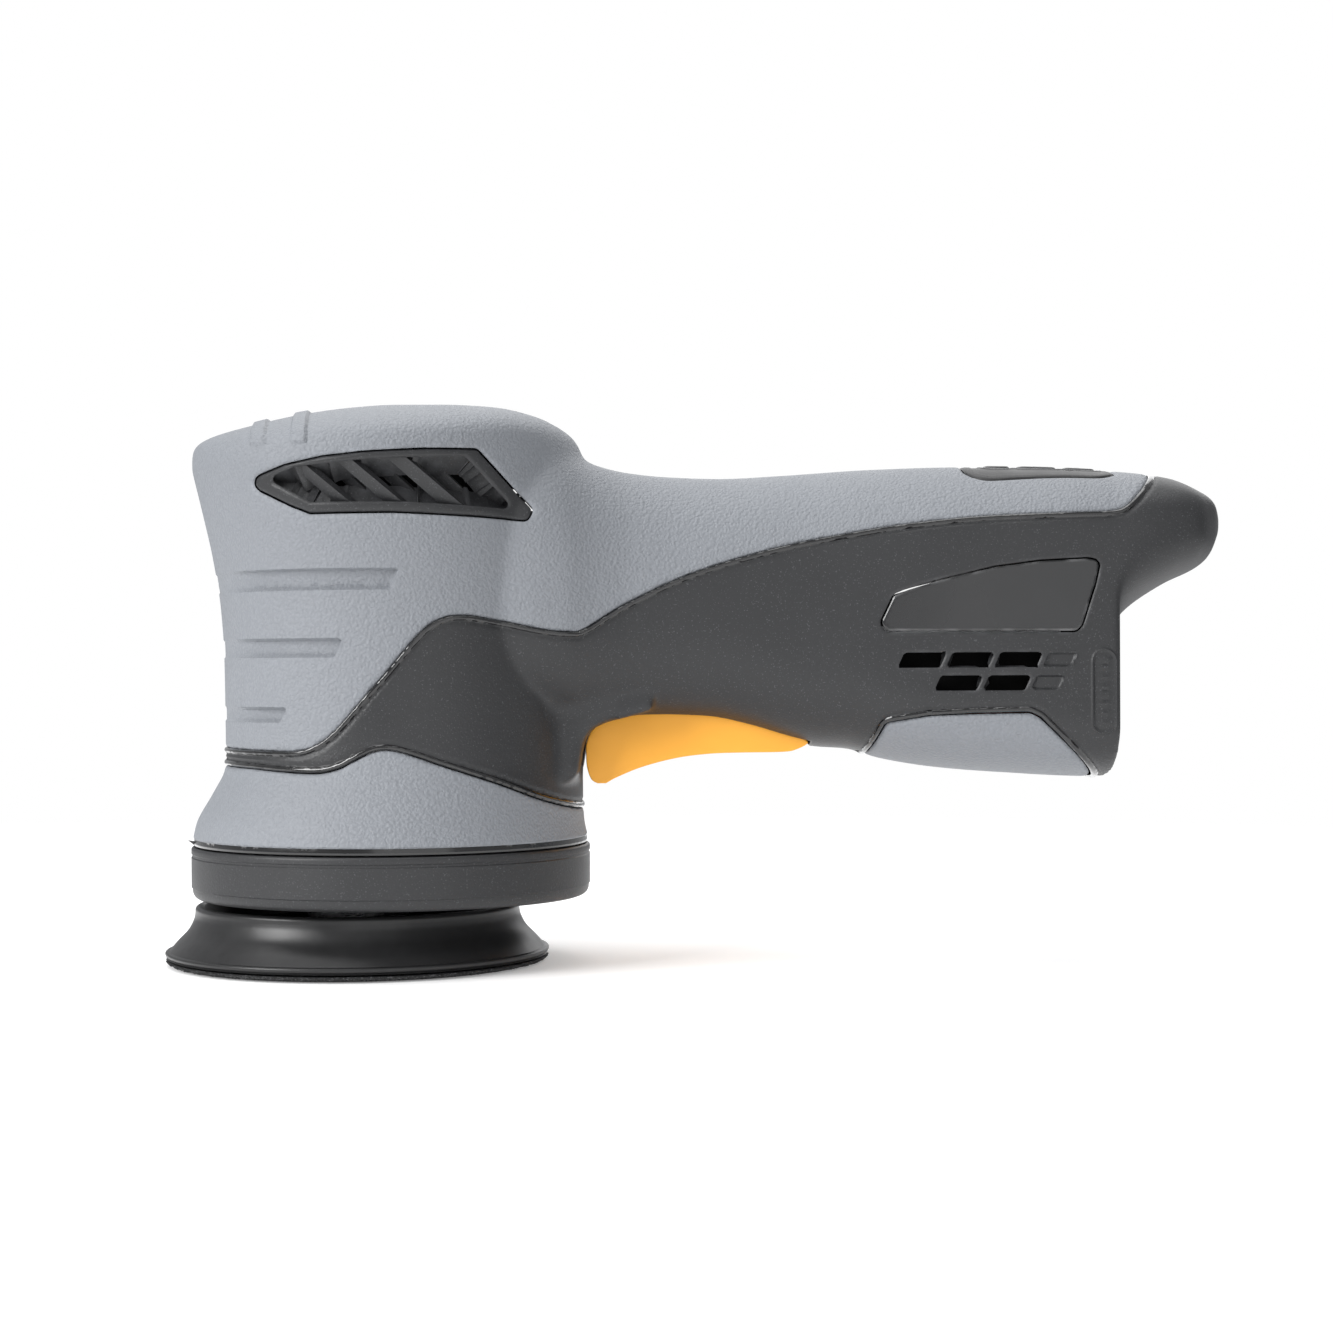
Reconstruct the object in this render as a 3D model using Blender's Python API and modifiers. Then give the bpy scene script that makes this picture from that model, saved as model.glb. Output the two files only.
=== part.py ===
"""Cordless orbital sander with a three inch pad.

A round motor head stands on the pad and a straight handle runs back from it to a
battery dock.  The frame is +Z up and +X along the handle.  The origin is the centre
of the pad's hook face.  Sizes are in millimetres until a mesh is made from them.
"""

import math

import bmesh
import bpy
from mathutils import Matrix, Vector

MM = 0.001

# Clearances
GAP = 0.3                  # between two pieces that touch
RUNNING_GAP = 0.5          # between two pieces that move past each other

# Pad and orbit
PAD_RADIUS = 38.0
PAD_EDGE_Z = 2.2
PAD_RIM_RADIUS = 32.2
PAD_RIM_Z = 11.8
PAD_DISH_Z = 6.5
HOOK_THICKNESS = 1.2
HUB_RADIUS = 10.0
ORBIT_RADIUS = 6.0         # half of the pad's 12 mm orbit
AXIS_X = ORBIT_RADIUS      # the motor axis, with the pad thrown forward

# Shroud
SHROUD_RADIUS = 39.5
SHROUD_CENTRE_X = 6.8
SHROUD_WALL = 2.7
SHROUD_LOW_Z = 13.2
SEAM_Z = 23.8              # where the shroud meets the housing

# Head
WAIST_Z = 39.5
RIM_Z = 97.5               # the widest level, under the domed top
HEAD_TOP_Z = 110.4
HEAD_FRONT_X = -32.2
HEAD_BACK_X = 45.0
HEAD_HALF_WIDTH = 38.6
WAIST_FRONT_X = -25.9
WAIST_HALF_WIDTH = 34.2
DOME_POWER = 6.0
CROWN_DROP = 5.5           # how far the top falls from its middle to its sides

# Handle
HANDLE_END_X = 148.2       # the battery face
TAIL_END_X = HANDLE_END_X + 21.3    # the overhang above the battery
REAR_X = HANDLE_END_X + 3.0    # what lies along the handle is set out from here
HANDLE_TOP_Z = 97.8
HANDLE_LOW_Z = 36.3
NECK_LOW_Z = 47.8
NECK_HALF_WIDTH = 20.4
REAR_HALF_WIDTH = 25.4
TAIL_LOW_Z = 63.8
SECTION_POWER = 2.5
THINNEST = 1.0             # half of the least height that a drawn-in section keeps

# Walls
SKIN = 1.2                 # soft overmould
POCKET = SKIN + GAP        # its recess in the hard shell
WALL = 3.0                 # soft and hard layers together

# Trigger
TRIGGER_WIDTH = 17.0
TRIGGER_FRONT_X = HEAD_BACK_X + 0.9
TRIGGER_TAIL_X = 89.8
PIVOT_X = 84.0
PIVOT_Z = 53.0
PIVOT_PIN_RADIUS = 1.5
PLUNGER_X = 62.0
PLUNGER_RADIUS = 2.5
SWITCH_LOW_Z = 62.0
SPRING_X = 52.5
SPRING_RADIUS = 2.4
SPRING_WIRE = 0.45
TRIGGER_TOP_Z = 53.0

# Motor and drive, one above the other on the motor axis
SHAFT_RADIUS = 4.0
STATOR_RADIUS = 25.0
STATOR_BORE = 15.0
STATOR_LOW_Z = 60.0
STATOR_HIGH_Z = 80.0
CAN_WALL = 3.0
BRACKET_Z = 42.0
BEARING_RADIUS = 11.0
LOWER_BEARING_RADIUS = 13.0
FAN_RADIUS = 26.0
FAN_LOW_Z = 87.0
UPPER_BEARING_Z = 97.0

# Battery dock, board and buttons
DOCK_HALF_WIDTH = 15.5
DOCK_LOW_Z = 41.0
DOCK_HIGH_Z = 62.0
BLADE_COUNT = 4
BLADE_PITCH = 5.0
BUTTON_RISE = 0.3

# Fineness
RING_SIDES = 28
SECTION_STEPS = 5
TURN_STEPS = 28
FLAT_ANGLE = math.radians(1.0)
SPLINTER = 0.01            # edges shorter than this are closed up

BLACK = (0.028, 0.029, 0.031)
GREY = (0.27, 0.285, 0.31)


# ---------------------------------------------------------------- collections

def clear_scene():
    for obj in list(bpy.data.objects):
        bpy.data.objects.remove(obj, do_unlink=True)


def new_collection(name):
    collection = bpy.data.collections.new(name)
    bpy.context.scene.collection.children.link(collection)
    return collection


clear_scene()
PARTS = new_collection("orbital_sander")
CUTTERS = new_collection("cutters")
MATERIALS = {}


def material(name, colour, roughness=0.5, metallic=0.0):
    if name not in MATERIALS:
        made = bpy.data.materials.new(name)
        made.use_nodes = True
        shader = made.node_tree.nodes["Principled BSDF"]
        shader.inputs["Base Color"].default_value = (*colour, 1.0)
        shader.inputs["Roughness"].default_value = roughness
        shader.inputs["Metallic"].default_value = metallic
        made.diffuse_color = (*colour, 1.0)
        MATERIALS[name] = made
    return MATERIALS[name]


def soft_grey():
    return material("soft_grey", GREY, 0.7)


def hard_black():
    return material("hard_black", BLACK, 0.55)


def steel():
    return material("steel", (0.55, 0.55, 0.57), 0.3, 1.0)


def aluminium():
    return material("aluminium", (0.7, 0.71, 0.72), 0.4, 1.0)


def copper():
    return material("copper", (0.72, 0.33, 0.14), 0.35, 1.0)


def rubber():
    return material("pad_rubber", (0.02, 0.02, 0.022), 0.5)


# ---------------------------------------------------------------- basic makers

def place(name, bm, finish, collection=None):
    """Make an object from a bmesh that is in millimetres."""
    bmesh.ops.scale(bm, vec=(MM, MM, MM), verts=bm.verts)
    bmesh.ops.triangulate(bm, faces=bm.faces)
    mesh = bpy.data.meshes.new(name)
    bm.to_mesh(mesh)
    bm.free()
    obj = bpy.data.objects.new(name, mesh)
    (collection or PARTS).objects.link(obj)
    if finish:
        mesh.materials.append(finish)
    return obj


def guide(obj):
    obj.hide_render = True
    obj.display_type = "WIRE"
    return obj


def evaluated_mesh(obj):
    bpy.context.view_layer.update()
    graph = bpy.context.evaluated_depsgraph_get()
    return bpy.data.meshes.new_from_object(obj.evaluated_get(graph))


def combine(obj, other, operation):
    """Cut, keep or join a piece with another, and bake the result."""
    modifier = obj.modifiers.new(operation.lower(), "BOOLEAN")
    modifier.operation = operation
    modifier.object = other
    modifier.solver = "EXACT"
    made = evaluated_mesh(obj)
    obj.modifiers.clear()
    bm = bmesh.new()
    bm.from_mesh(made)
    bmesh.ops.triangulate(bm, faces=bm.faces)
    bm.to_mesh(made)
    bm.free()
    old = obj.data
    obj.data = made
    bpy.data.meshes.remove(old)
    return obj


def cut(obj, *cutters):
    for cutter in cutters:
        combine(obj, cutter, "DIFFERENCE")
    return obj


def keep(obj, region):
    return combine(obj, region, "INTERSECT")


def join(obj, *others):
    for other in others:
        combine(obj, other, "UNION")
    return obj


def simplify(obj):
    """Join the flat splinters that the cuts leave."""
    bm = bmesh.new()
    bm.from_mesh(obj.data)
    bmesh.ops.remove_doubles(bm, verts=bm.verts, dist=SPLINTER * MM)
    bmesh.ops.dissolve_limit(bm, angle_limit=FLAT_ANGLE, verts=bm.verts, edges=bm.edges)
    bmesh.ops.triangulate(bm, faces=bm.faces)
    bmesh.ops.dissolve_degenerate(bm, edges=bm.edges, dist=SPLINTER * MM)
    bmesh.ops.triangulate(bm, faces=bm.faces)
    loose = [edge for edge in bm.edges if not edge.link_faces]
    bmesh.ops.delete(bm, geom=loose, context="EDGES")
    bm.to_mesh(obj.data)
    bm.free()
    return obj


def copy_of(obj, name, finish):
    """A copy of a guide's mesh, as a piece with its own finish."""
    mesh = obj.data.copy()
    mesh.materials.clear()
    mesh.materials.append(finish)
    made = bpy.data.objects.new(name, mesh)
    PARTS.objects.link(made)
    return made


def mirrored(obj, name):
    """The same piece for the other side of the tool."""
    bm = bmesh.new()
    bm.from_mesh(obj.data)
    bmesh.ops.scale(bm, vec=(1, -1, 1), verts=bm.verts)
    bmesh.ops.reverse_faces(bm, faces=bm.faces)
    mesh = bpy.data.meshes.new(name)
    bm.to_mesh(mesh)
    bm.free()
    mesh.materials.append(obj.data.materials[0])
    made = bpy.data.objects.new(name, mesh)
    PARTS.objects.link(made)
    return made


def box(name, low, high, finish=None, bevel=0.0):
    bm = bmesh.new()
    bmesh.ops.create_cube(bm, size=1.0)
    size = [high[i] - low[i] for i in range(3)]
    middle = [(high[i] + low[i]) / 2 for i in range(3)]
    bmesh.ops.scale(bm, vec=size, verts=bm.verts)
    bmesh.ops.translate(bm, vec=middle, verts=bm.verts)
    if bevel:
        bmesh.ops.bevel(bm, geom=bm.edges[:], offset=bevel, segments=1, profile=0.5,
                        affect="EDGES", material=-1)
    if finish:
        return place(name, bm, finish)
    return guide(place(name, bm, None, CUTTERS))


def rod(name, start, end, radius, finish=None, sides=16):
    """A straight round bar between two points."""
    start, end = Vector(start), Vector(end)
    along = end - start
    bm = bmesh.new()
    bmesh.ops.create_cone(bm, cap_ends=True, segments=sides, radius1=radius,
                          radius2=radius, depth=along.length)
    turn = along.to_track_quat("Z", "Y").to_matrix().to_4x4()
    middle = Matrix.Translation((start + end) / 2)
    bmesh.ops.transform(bm, matrix=middle @ turn, verts=bm.verts)
    if finish:
        return place(name, bm, finish)
    return guide(place(name, bm, None, CUTTERS))


def turned(name, profile, finish, centre_x=0.0, steps=TURN_STEPS, ring=True):
    """A turned piece: its profile of (radius, height) runs down the outside first."""
    bm = bmesh.new()
    verts = [bm.verts.new((radius, 0, height)) for radius, height in profile]
    pairs = list(zip(verts, verts[1:]))
    if ring:
        pairs.append((verts[-1], verts[0]))
    for first, second in pairs:
        bm.edges.new((first, second))
    collection = PARTS if finish else CUTTERS
    obj = place(name, bm, finish, collection)
    screw = obj.modifiers.new("turn", "SCREW")
    screw.steps = steps
    screw.render_steps = steps
    screw.use_merge_vertices = True
    screw.merge_threshold = 0.00001
    made = evaluated_mesh(obj)
    obj.modifiers.clear()
    obj.data = made
    obj.location.x = centre_x * MM
    bpy.context.view_layer.update()
    made.transform(obj.matrix_world)
    obj.location.x = 0
    made.shade_smooth()
    return obj if finish else guide(obj)


def ring_profile(outer, inner, low, high, chamfer=0.0):
    """A plain ring's profile, down the outside and up the inside."""
    return [(outer - chamfer, high), (outer, high - chamfer), (outer, low + chamfer),
            (outer - chamfer, low), (inner, low), (inner, high)]


def prism(name, outline, low, high, axis="Y"):
    """A flat outline pushed through the tool along one axis."""
    bm = bmesh.new()
    if axis == "Y":
        verts = [bm.verts.new((a, low, b)) for a, b in outline]
        push = (0, high - low, 0)
    else:
        verts = [bm.verts.new((a, b, low)) for a, b in outline]
        push = (0, 0, high - low)
    face = bm.faces.new(verts)
    moved = bmesh.ops.extrude_face_region(bm, geom=[face])["geom"]
    corners = [item for item in moved if isinstance(item, bmesh.types.BMVert)]
    bmesh.ops.translate(bm, vec=push, verts=corners)
    bmesh.ops.recalc_face_normals(bm, faces=bm.faces)
    return guide(place(name, bm, None, CUTTERS))


def grown(outline, amount):
    """The outline with every side moved outwards by an amount."""
    area = sum(a[0] * b[1] - b[0] * a[1] for a, b in zip(outline, outline[1:] + outline[:1]))
    sign = 1.0 if area > 0 else -1.0
    result = []
    for i, point in enumerate(outline):
        before = Vector(outline[i - 1])
        after = Vector(outline[(i + 1) % len(outline)])
        here = Vector(point)
        first = (here - before).normalized()
        second = (after - here).normalized()
        normal_1 = Vector((first.y, -first.x)) * sign
        normal_2 = Vector((second.y, -second.x)) * sign
        middle = (normal_1 + normal_2).normalized()
        stretch = amount / max(0.5, middle.dot(normal_1))
        result.append(tuple(here + middle * stretch))
    return result


def smooth_line(points, steps=3):
    """A curve through the points, with a few steps between each two."""
    ends = [points[0]] + list(points) + [points[-1]]
    line = []
    for a, b, c, d in zip(ends, ends[1:], ends[2:], ends[3:]):
        for step in range(steps):
            t = step / steps
            line.append(tuple(
                0.5 * (2 * b[k] + (c[k] - a[k]) * t
                       + (2 * a[k] - 5 * b[k] + 4 * c[k] - d[k]) * t ** 2
                       + (3 * b[k] - a[k] - 3 * c[k] + d[k]) * t ** 3)
                for k in range(len(b))))
    return line + [tuple(points[-1])]


def tube(name, points, radius, finish, resolution=1):
    curve = bpy.data.curves.new(name, "CURVE")
    curve.dimensions = "3D"
    curve.bevel_depth = radius * MM
    curve.bevel_resolution = resolution
    curve.use_fill_caps = True
    spline = curve.splines.new("POLY")
    spline.points.add(len(points) - 1)
    for slot, point in zip(spline.points, points):
        slot.co = (point[0] * MM, point[1] * MM, point[2] * MM, 1.0)
    curve.materials.append(finish)
    obj = bpy.data.objects.new(name, curve)
    PARTS.objects.link(obj)
    return obj


# ---------------------------------------------------------------- the outer form

def fair(points):
    """A smooth function through (x, value) points that never overshoots them."""
    xs = [p[0] for p in points]
    ys = [p[1] for p in points]
    slopes = [(ys[i + 1] - ys[i]) / (xs[i + 1] - xs[i]) for i in range(len(xs) - 1)]
    rates = [slopes[0]]
    for before, after in zip(slopes, slopes[1:]):
        turning = before * after <= 0
        rates.append(0.0 if turning else 2 * before * after / (before + after))
    rates.append(slopes[-1])

    def value(x):
        if x <= xs[0]:
            return ys[0]
        if x >= xs[-1]:
            return ys[-1]
        i = max(k for k in range(len(xs) - 1) if xs[k] <= x)
        h = xs[i + 1] - xs[i]
        t = (x - xs[i]) / h
        rise = (1 + 2 * t) * (1 - t) ** 2 * ys[i] + t * t * (3 - 2 * t) * ys[i + 1]
        return rise + h * (t * (1 - t) ** 2 * rates[i] + t * t * (t - 1) * rates[i + 1])
    return value


head_front = fair([
    (SEAM_Z, SHROUD_CENTRE_X - SHROUD_RADIUS + 0.1),
    (SEAM_Z + 4.2, SHROUD_CENTRE_X - SHROUD_RADIUS + 1.0),
    (WAIST_Z - 5.5, WAIST_FRONT_X - 2.5), (WAIST_Z, WAIST_FRONT_X),
    (WAIST_Z + 20.5, WAIST_FRONT_X - 0.2), (RIM_Z - 27.5, WAIST_FRONT_X - 0.8),
    (RIM_Z - 17.5, HEAD_FRONT_X + 4.0), (RIM_Z - 7.5, HEAD_FRONT_X + 1.8),
    (RIM_Z, HEAD_FRONT_X)])
head_back = fair([
    (SEAM_Z, SHROUD_CENTRE_X + SHROUD_RADIUS - 0.1),
    (SEAM_Z + 4.2, SHROUD_CENTRE_X + SHROUD_RADIUS - 1.1),
    (SEAM_Z + 8.2, HEAD_BACK_X), (RIM_Z, HEAD_BACK_X)])
head_half = fair([
    (SEAM_Z, SHROUD_RADIUS - 0.1), (SEAM_Z + 4.2, SHROUD_RADIUS - 1.0),
    (WAIST_Z - 5.5, WAIST_HALF_WIDTH + 2.4), (WAIST_Z, WAIST_HALF_WIDTH + 0.4),
    (WAIST_Z + 8.5, WAIST_HALF_WIDTH), (RIM_Z - 27.5, WAIST_HALF_WIDTH + 0.6),
    (RIM_Z - 17.5, HEAD_HALF_WIDTH - 2.6), (RIM_Z - 7.5, HEAD_HALF_WIDTH - 1.0),
    (RIM_Z, HEAD_HALF_WIDTH)])
head_crown = fair([
    (HEAD_FRONT_X - 3, HEAD_TOP_Z - 6.8), (HEAD_FRONT_X + 5, HEAD_TOP_Z - 5.3),
    (HEAD_FRONT_X + 13, HEAD_TOP_Z - 3.8), (HEAD_FRONT_X + 23, HEAD_TOP_Z - 1.8),
    (HEAD_FRONT_X + 33, HEAD_TOP_Z - 0.5), (HEAD_FRONT_X + 41, HEAD_TOP_Z),
    (HEAD_BACK_X - 27, HEAD_TOP_Z), (HEAD_BACK_X - 17, HEAD_TOP_Z - 0.4),
    (HEAD_BACK_X - 9, HEAD_TOP_Z - 1.8), (HEAD_BACK_X + 1, HEAD_TOP_Z - 5.4)])

handle_top = fair([
    (HEAD_BACK_X - 35, RIM_Z + 0.5), (HEAD_BACK_X - 11, HEAD_TOP_Z - 6.4),
    (HEAD_BACK_X - 5.5, HEAD_TOP_Z - 6.8), (HEAD_BACK_X - 2.5, HEAD_TOP_Z - 8.7),
    (HEAD_BACK_X + 0.5, HANDLE_TOP_Z + 1.8), (HEAD_BACK_X + 3.5, HANDLE_TOP_Z + 0.6),
    (HEAD_BACK_X + 9.5, HANDLE_TOP_Z - 0.8), (HEAD_BACK_X + 17, HANDLE_TOP_Z - 1.6),
    (HEAD_BACK_X + 28, HANDLE_TOP_Z - 2.0), (HEAD_BACK_X + 39, HANDLE_TOP_Z - 1.5),
    (REAR_X - 49, HANDLE_TOP_Z - 0.4), (REAR_X - 33, HANDLE_TOP_Z),
    (REAR_X - 19, HANDLE_TOP_Z - 0.2), (REAR_X - 1, HANDLE_TOP_Z - 1.1),
    (REAR_X + 9, HANDLE_TOP_Z - 2.4), (REAR_X + 14, HANDLE_TOP_Z - 4.4),
    (TAIL_END_X - 1.0, HANDLE_TOP_Z - 6.4), (TAIL_END_X, HANDLE_TOP_Z - 9.0)])
handle_low = fair([
    (HEAD_BACK_X - 35, NECK_LOW_Z + 1.2), (HEAD_BACK_X + 1, NECK_LOW_Z - 0.2),
    (HEAD_BACK_X + 15, NECK_LOW_Z), (HEAD_BACK_X + 25, NECK_LOW_Z - 0.4),
    (HEAD_BACK_X + 33, NECK_LOW_Z - 2.0), (HEAD_BACK_X + 41, NECK_LOW_Z - 4.3),
    (REAR_X - 60, NECK_LOW_Z - 5.4), (REAR_X - 54, HANDLE_LOW_Z + 5.7),
    (REAR_X - 47, HANDLE_LOW_Z + 3.7), (REAR_X - 36, HANDLE_LOW_Z + 1.9),
    (REAR_X - 24, HANDLE_LOW_Z + 0.9), (REAR_X - 6, HANDLE_LOW_Z),
    (HANDLE_END_X, HANDLE_LOW_Z)])
tail_low = fair([
    (HANDLE_END_X, TAIL_LOW_Z), (HANDLE_END_X + 1.2, TAIL_LOW_Z + 2.4),
    (HANDLE_END_X + 4.3, TAIL_LOW_Z + 5.6), (HANDLE_END_X + 11.3, TAIL_LOW_Z + 10.2),
    (TAIL_END_X - 2, TAIL_LOW_Z + 14.4), (TAIL_END_X, TAIL_LOW_Z + 18.5)])
handle_half = fair([
    (HEAD_BACK_X - 35, NECK_HALF_WIDTH + 6), (HEAD_BACK_X - 11, NECK_HALF_WIDTH + 7.4),
    (HEAD_BACK_X - 3, NECK_HALF_WIDTH + 6), (HEAD_BACK_X + 3, NECK_HALF_WIDTH + 3.2),
    (HEAD_BACK_X + 11, NECK_HALF_WIDTH + 0.8), (HEAD_BACK_X + 21, NECK_HALF_WIDTH),
    (HEAD_BACK_X + 39, NECK_HALF_WIDTH + 0.2), (REAR_X - 51, REAR_HALF_WIDTH - 3.2),
    (REAR_X - 31, REAR_HALF_WIDTH - 1), (REAR_X - 11, REAR_HALF_WIDTH),
    (HANDLE_END_X, REAR_HALF_WIDTH), (TAIL_END_X - 6, REAR_HALF_WIDTH - 2.5),
    (TAIL_END_X - 1.5, REAR_HALF_WIDTH - 8), (TAIL_END_X, REAR_HALF_WIDTH - 12)])
round_top = fair([
    (HEAD_BACK_X, 25), (HEAD_BACK_X + 25, 24), (REAR_X - 31, 22),
    (REAR_X - 4, 16), (HANDLE_END_X, 16), (TAIL_END_X - 6, 11), (TAIL_END_X, 3)])
round_low = fair([
    (HEAD_BACK_X, 24), (HEAD_BACK_X + 30, 22), (REAR_X - 45, 18),
    (HANDLE_END_X, 13)])


def loft(rings):
    """Skin a row of rings that have equal numbers of points, and close both ends."""
    bm = bmesh.new()
    rows = [[bm.verts.new(point) for point in ring] for ring in rings]
    for lower, upper in zip(rows, rows[1:]):
        count = len(lower)
        for i in range(count):
            j = (i + 1) % count
            bm.faces.new((lower[i], lower[j], upper[j], upper[i]))
    bm.faces.new(list(reversed(rows[0])))
    bm.faces.new(rows[-1])
    bmesh.ops.recalc_face_normals(bm, faces=bm.faces)
    return bm


def head_ring(z, inset):
    """The head's outline at one level, below the dome."""
    front = head_front(z) + inset
    back = head_back(z) - inset
    half = head_half(z) - inset
    middle, reach = (front + back) / 2, (back - front) / 2
    angles = [2 * math.pi * i / RING_SIDES for i in range(RING_SIDES)]
    return [(middle - reach * math.cos(a), -half * math.sin(a), z) for a in angles]


def dome_ring(lift, inset):
    """A ring of the domed top, from lift 0 at the rim to 1 at the middle."""
    shrink = math.cos(lift * math.pi / 2) ** (2 / DOME_POWER)
    rise = math.sin(lift * math.pi / 2) ** (2 / DOME_POWER)
    rim = head_ring(RIM_Z, inset)
    middle = (head_front(RIM_Z) + head_back(RIM_Z)) / 2
    ring = []
    for x, y, z in rim:
        px = middle + (x - middle) * shrink
        py = y * shrink
        drop = CROWN_DROP * (py / HEAD_HALF_WIDTH) ** 2
        top = head_crown(px) - drop - inset
        ring.append((px, py, z + (top - z) * rise))
    return ring


def head_form(inset, low_z):
    """The head as one solid, drawn in from the outer surface by an inset."""
    levels = [low_z, SEAM_Z + 4.2, SEAM_Z + 8, WAIST_Z - 4, WAIST_Z, WAIST_Z + 7]
    middle_levels = 4
    for step in range(1, middle_levels + 1):
        levels.append(WAIST_Z + 7 + (RIM_Z - 8 - WAIST_Z - 7) * step / middle_levels)
    levels += [RIM_Z - 4, RIM_Z]
    rings = [head_ring(z, inset) for z in levels]
    rings += [dome_ring(lift, inset) for lift in (0.3, 0.55, 0.75, 0.9, 0.98)]
    return loft(rings)


def handle_ring(x, low, inset):
    """One upright section of the handle, with rounded top and bottom."""
    middle = (handle_top(x) + low) / 2
    top = max(handle_top(x) - inset, middle + THINNEST)
    low = min(low + inset, middle - THINNEST)
    half = handle_half(x) - inset
    high_round = min(round_top(x) - inset, (top - low) * 0.5)
    low_round = min(round_low(x) - inset, (top - low) * 0.49)
    side = []
    for step in range(SECTION_STEPS + 1):
        angle = step / SECTION_STEPS * math.pi / 2
        out = math.sin(angle) ** (2 / SECTION_POWER)
        down = math.cos(angle) ** (2 / SECTION_POWER)
        side.append((half * out, low + low_round * (1 - down)))
    for step in range(SECTION_STEPS + 1):
        angle = step / SECTION_STEPS * math.pi / 2
        out = math.cos(angle) ** (2 / SECTION_POWER)
        up = math.sin(angle) ** (2 / SECTION_POWER)
        side.append((half * out, top - high_round * (1 - up)))
    near = [(x, -y, z) for y, z in side]
    far = [(x, y, z) for y, z in reversed(side[1:-1])]
    return near + far


def handle_form(inset):
    """The handle and its overhanging tail as one solid."""
    stations = [HEAD_BACK_X - 30, HEAD_BACK_X - 11, HEAD_BACK_X - 5, HEAD_BACK_X + 0.6,
                HEAD_BACK_X + 4, HEAD_BACK_X + 9, HEAD_BACK_X + 17, HEAD_BACK_X + 29]
    span = 5
    last = HEAD_BACK_X + 29
    for step in range(1, span):
        stations.append(last + (HANDLE_END_X - last) * step / span)
    rings = [handle_ring(x, handle_low(x), inset) for x in stations]
    end = HANDLE_END_X - inset
    rings.append(handle_ring(end, handle_low(HANDLE_END_X), inset))
    for x in (HANDLE_END_X + 0.1, HANDLE_END_X + 1.2, HANDLE_END_X + 4.3,
              HANDLE_END_X + 11.3, TAIL_END_X - 4, TAIL_END_X - 1.5, TAIL_END_X):
        rings.append(handle_ring(x - inset, tail_low(x), inset))
    return loft(rings)


def form(inset, low_z=SEAM_Z):
    """The whole outer form, drawn in by an inset."""
    name = f"form_{inset:.1f}".replace(".", "_")
    head = guide(place(name, head_form(inset, low_z), None, CUTTERS))
    handle = guide(place(name + "_handle", handle_form(inset), None, CUTTERS))
    return join(head, handle)


OUTER = form(0.0)
SKIN_BACK = form(SKIN, SEAM_Z - 5)
POCKET_FLOOR = form(POCKET, SEAM_Z - 5)
CAVITY = form(WALL, SEAM_Z - 5)
BADGE_FACE = form(GAP)

# ---------------------------------------------------------------- panel outlines
# Each is drawn on the side of the tool, as (x, z).

FAR = 70.0                 # beyond the tool on every side

UPPER_LINE = smooth_line([
    (HEAD_FRONT_X - 20, WAIST_Z + 3.4), (-17, WAIST_Z + 3.3), (-8, WAIST_Z + 3.3),
    (-4, WAIST_Z + 4.6), (0, WAIST_Z + 7.6), (6, WAIST_Z + 14), (15.5, WAIST_Z + 25.2),
    (20, WAIST_Z + 28.2), (24.5, WAIST_Z + 28.7), (34, WAIST_Z + 26.8),
    (43, WAIST_Z + 25.6), (47, WAIST_Z + 26.4), (54, WAIST_Z + 30.6),
    (66, WAIST_Z + 36.6), (83, WAIST_Z + 41.8), (100, WAIST_Z + 44.9),
    (REAR_X - 26, WAIST_Z + 47.4), (REAR_X - 4, WAIST_Z + 48.2),
    (REAR_X + 0.4, WAIST_Z + 50.4), (REAR_X + 4.4, WAIST_Z + 55),
    (REAR_X + 9, WAIST_Z + 62)], 1)
LOWER_LINE = smooth_line([
    (HEAD_FRONT_X - 20, WAIST_Z + 0.1), (-18, WAIST_Z), (-9, WAIST_Z - 0.5),
    (-2, WAIST_Z - 0.5), (2.5, WAIST_Z + 1.3), (6.5, WAIST_Z + 3.2),
    (11, WAIST_Z + 3.4), (16, WAIST_Z + 2.0), (29, WAIST_Z - 2.5),
    (38, WAIST_Z - 6.2), (HEAD_BACK_X, WAIST_Z - 9), (HEAD_BACK_X + 15, WAIST_Z - 14)], 1)
HEEL_OUTLINE = [
    (REAR_X - 50.8, HANDLE_LOW_Z - 6), (REAR_X - 50, HANDLE_LOW_Z + 4.6),
    (REAR_X - 47.4, HANDLE_LOW_Z + 11), (REAR_X - 31, HANDLE_LOW_Z + 12.7),
    (REAR_X - 20.4, HANDLE_LOW_Z + 12.9), (REAR_X - 18.3, HANDLE_LOW_Z + 11.8),
    (REAR_X - 6.2, HANDLE_LOW_Z), (REAR_X - 4, HANDLE_LOW_Z - 6)]
BADGE_OUTLINE = [
    (REAR_X - 48.4, 66.0), (REAR_X - 45.9, 71.8), (REAR_X - 37.8, 74.4),
    (REAR_X - 26.8, 77.1), (REAR_X - 18.1, 78.2), (REAR_X - 7.2, 78.6),
    (REAR_X - 8, 73.8), (REAR_X - 10.6, 65.6), (REAR_X - 11.6, 64.9),
    (REAR_X - 47.4, 64.9)]
GRILLE_OUTLINE = [
    (-14.8, RIM_Z - 4.2), (-8.4, RIM_Z - 1.5), (6.1, RIM_Z + 0.7), (16.8, RIM_Z + 1.3),
    (26.7, RIM_Z + 1.6), (36.1, RIM_Z - 9.1), (35.0, RIM_Z - 10.9), (27.4, RIM_Z - 10.4),
    (11.4, RIM_Z - 9.8), (-4.2, RIM_Z - 9.9), (-8.0, RIM_Z - 8.3)]
GRILLE_OPENING = [(-11.1, RIM_Z - 3.6), (24.7, RIM_Z - 0.1), (31.3, RIM_Z - 8.7),
                  (-2.6, RIM_Z - 7.9)]
PANEL_LOW_X = REAR_X - 31
PANEL_HIGH_X = REAR_X - 2
PANEL_HALF = 16.0


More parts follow.
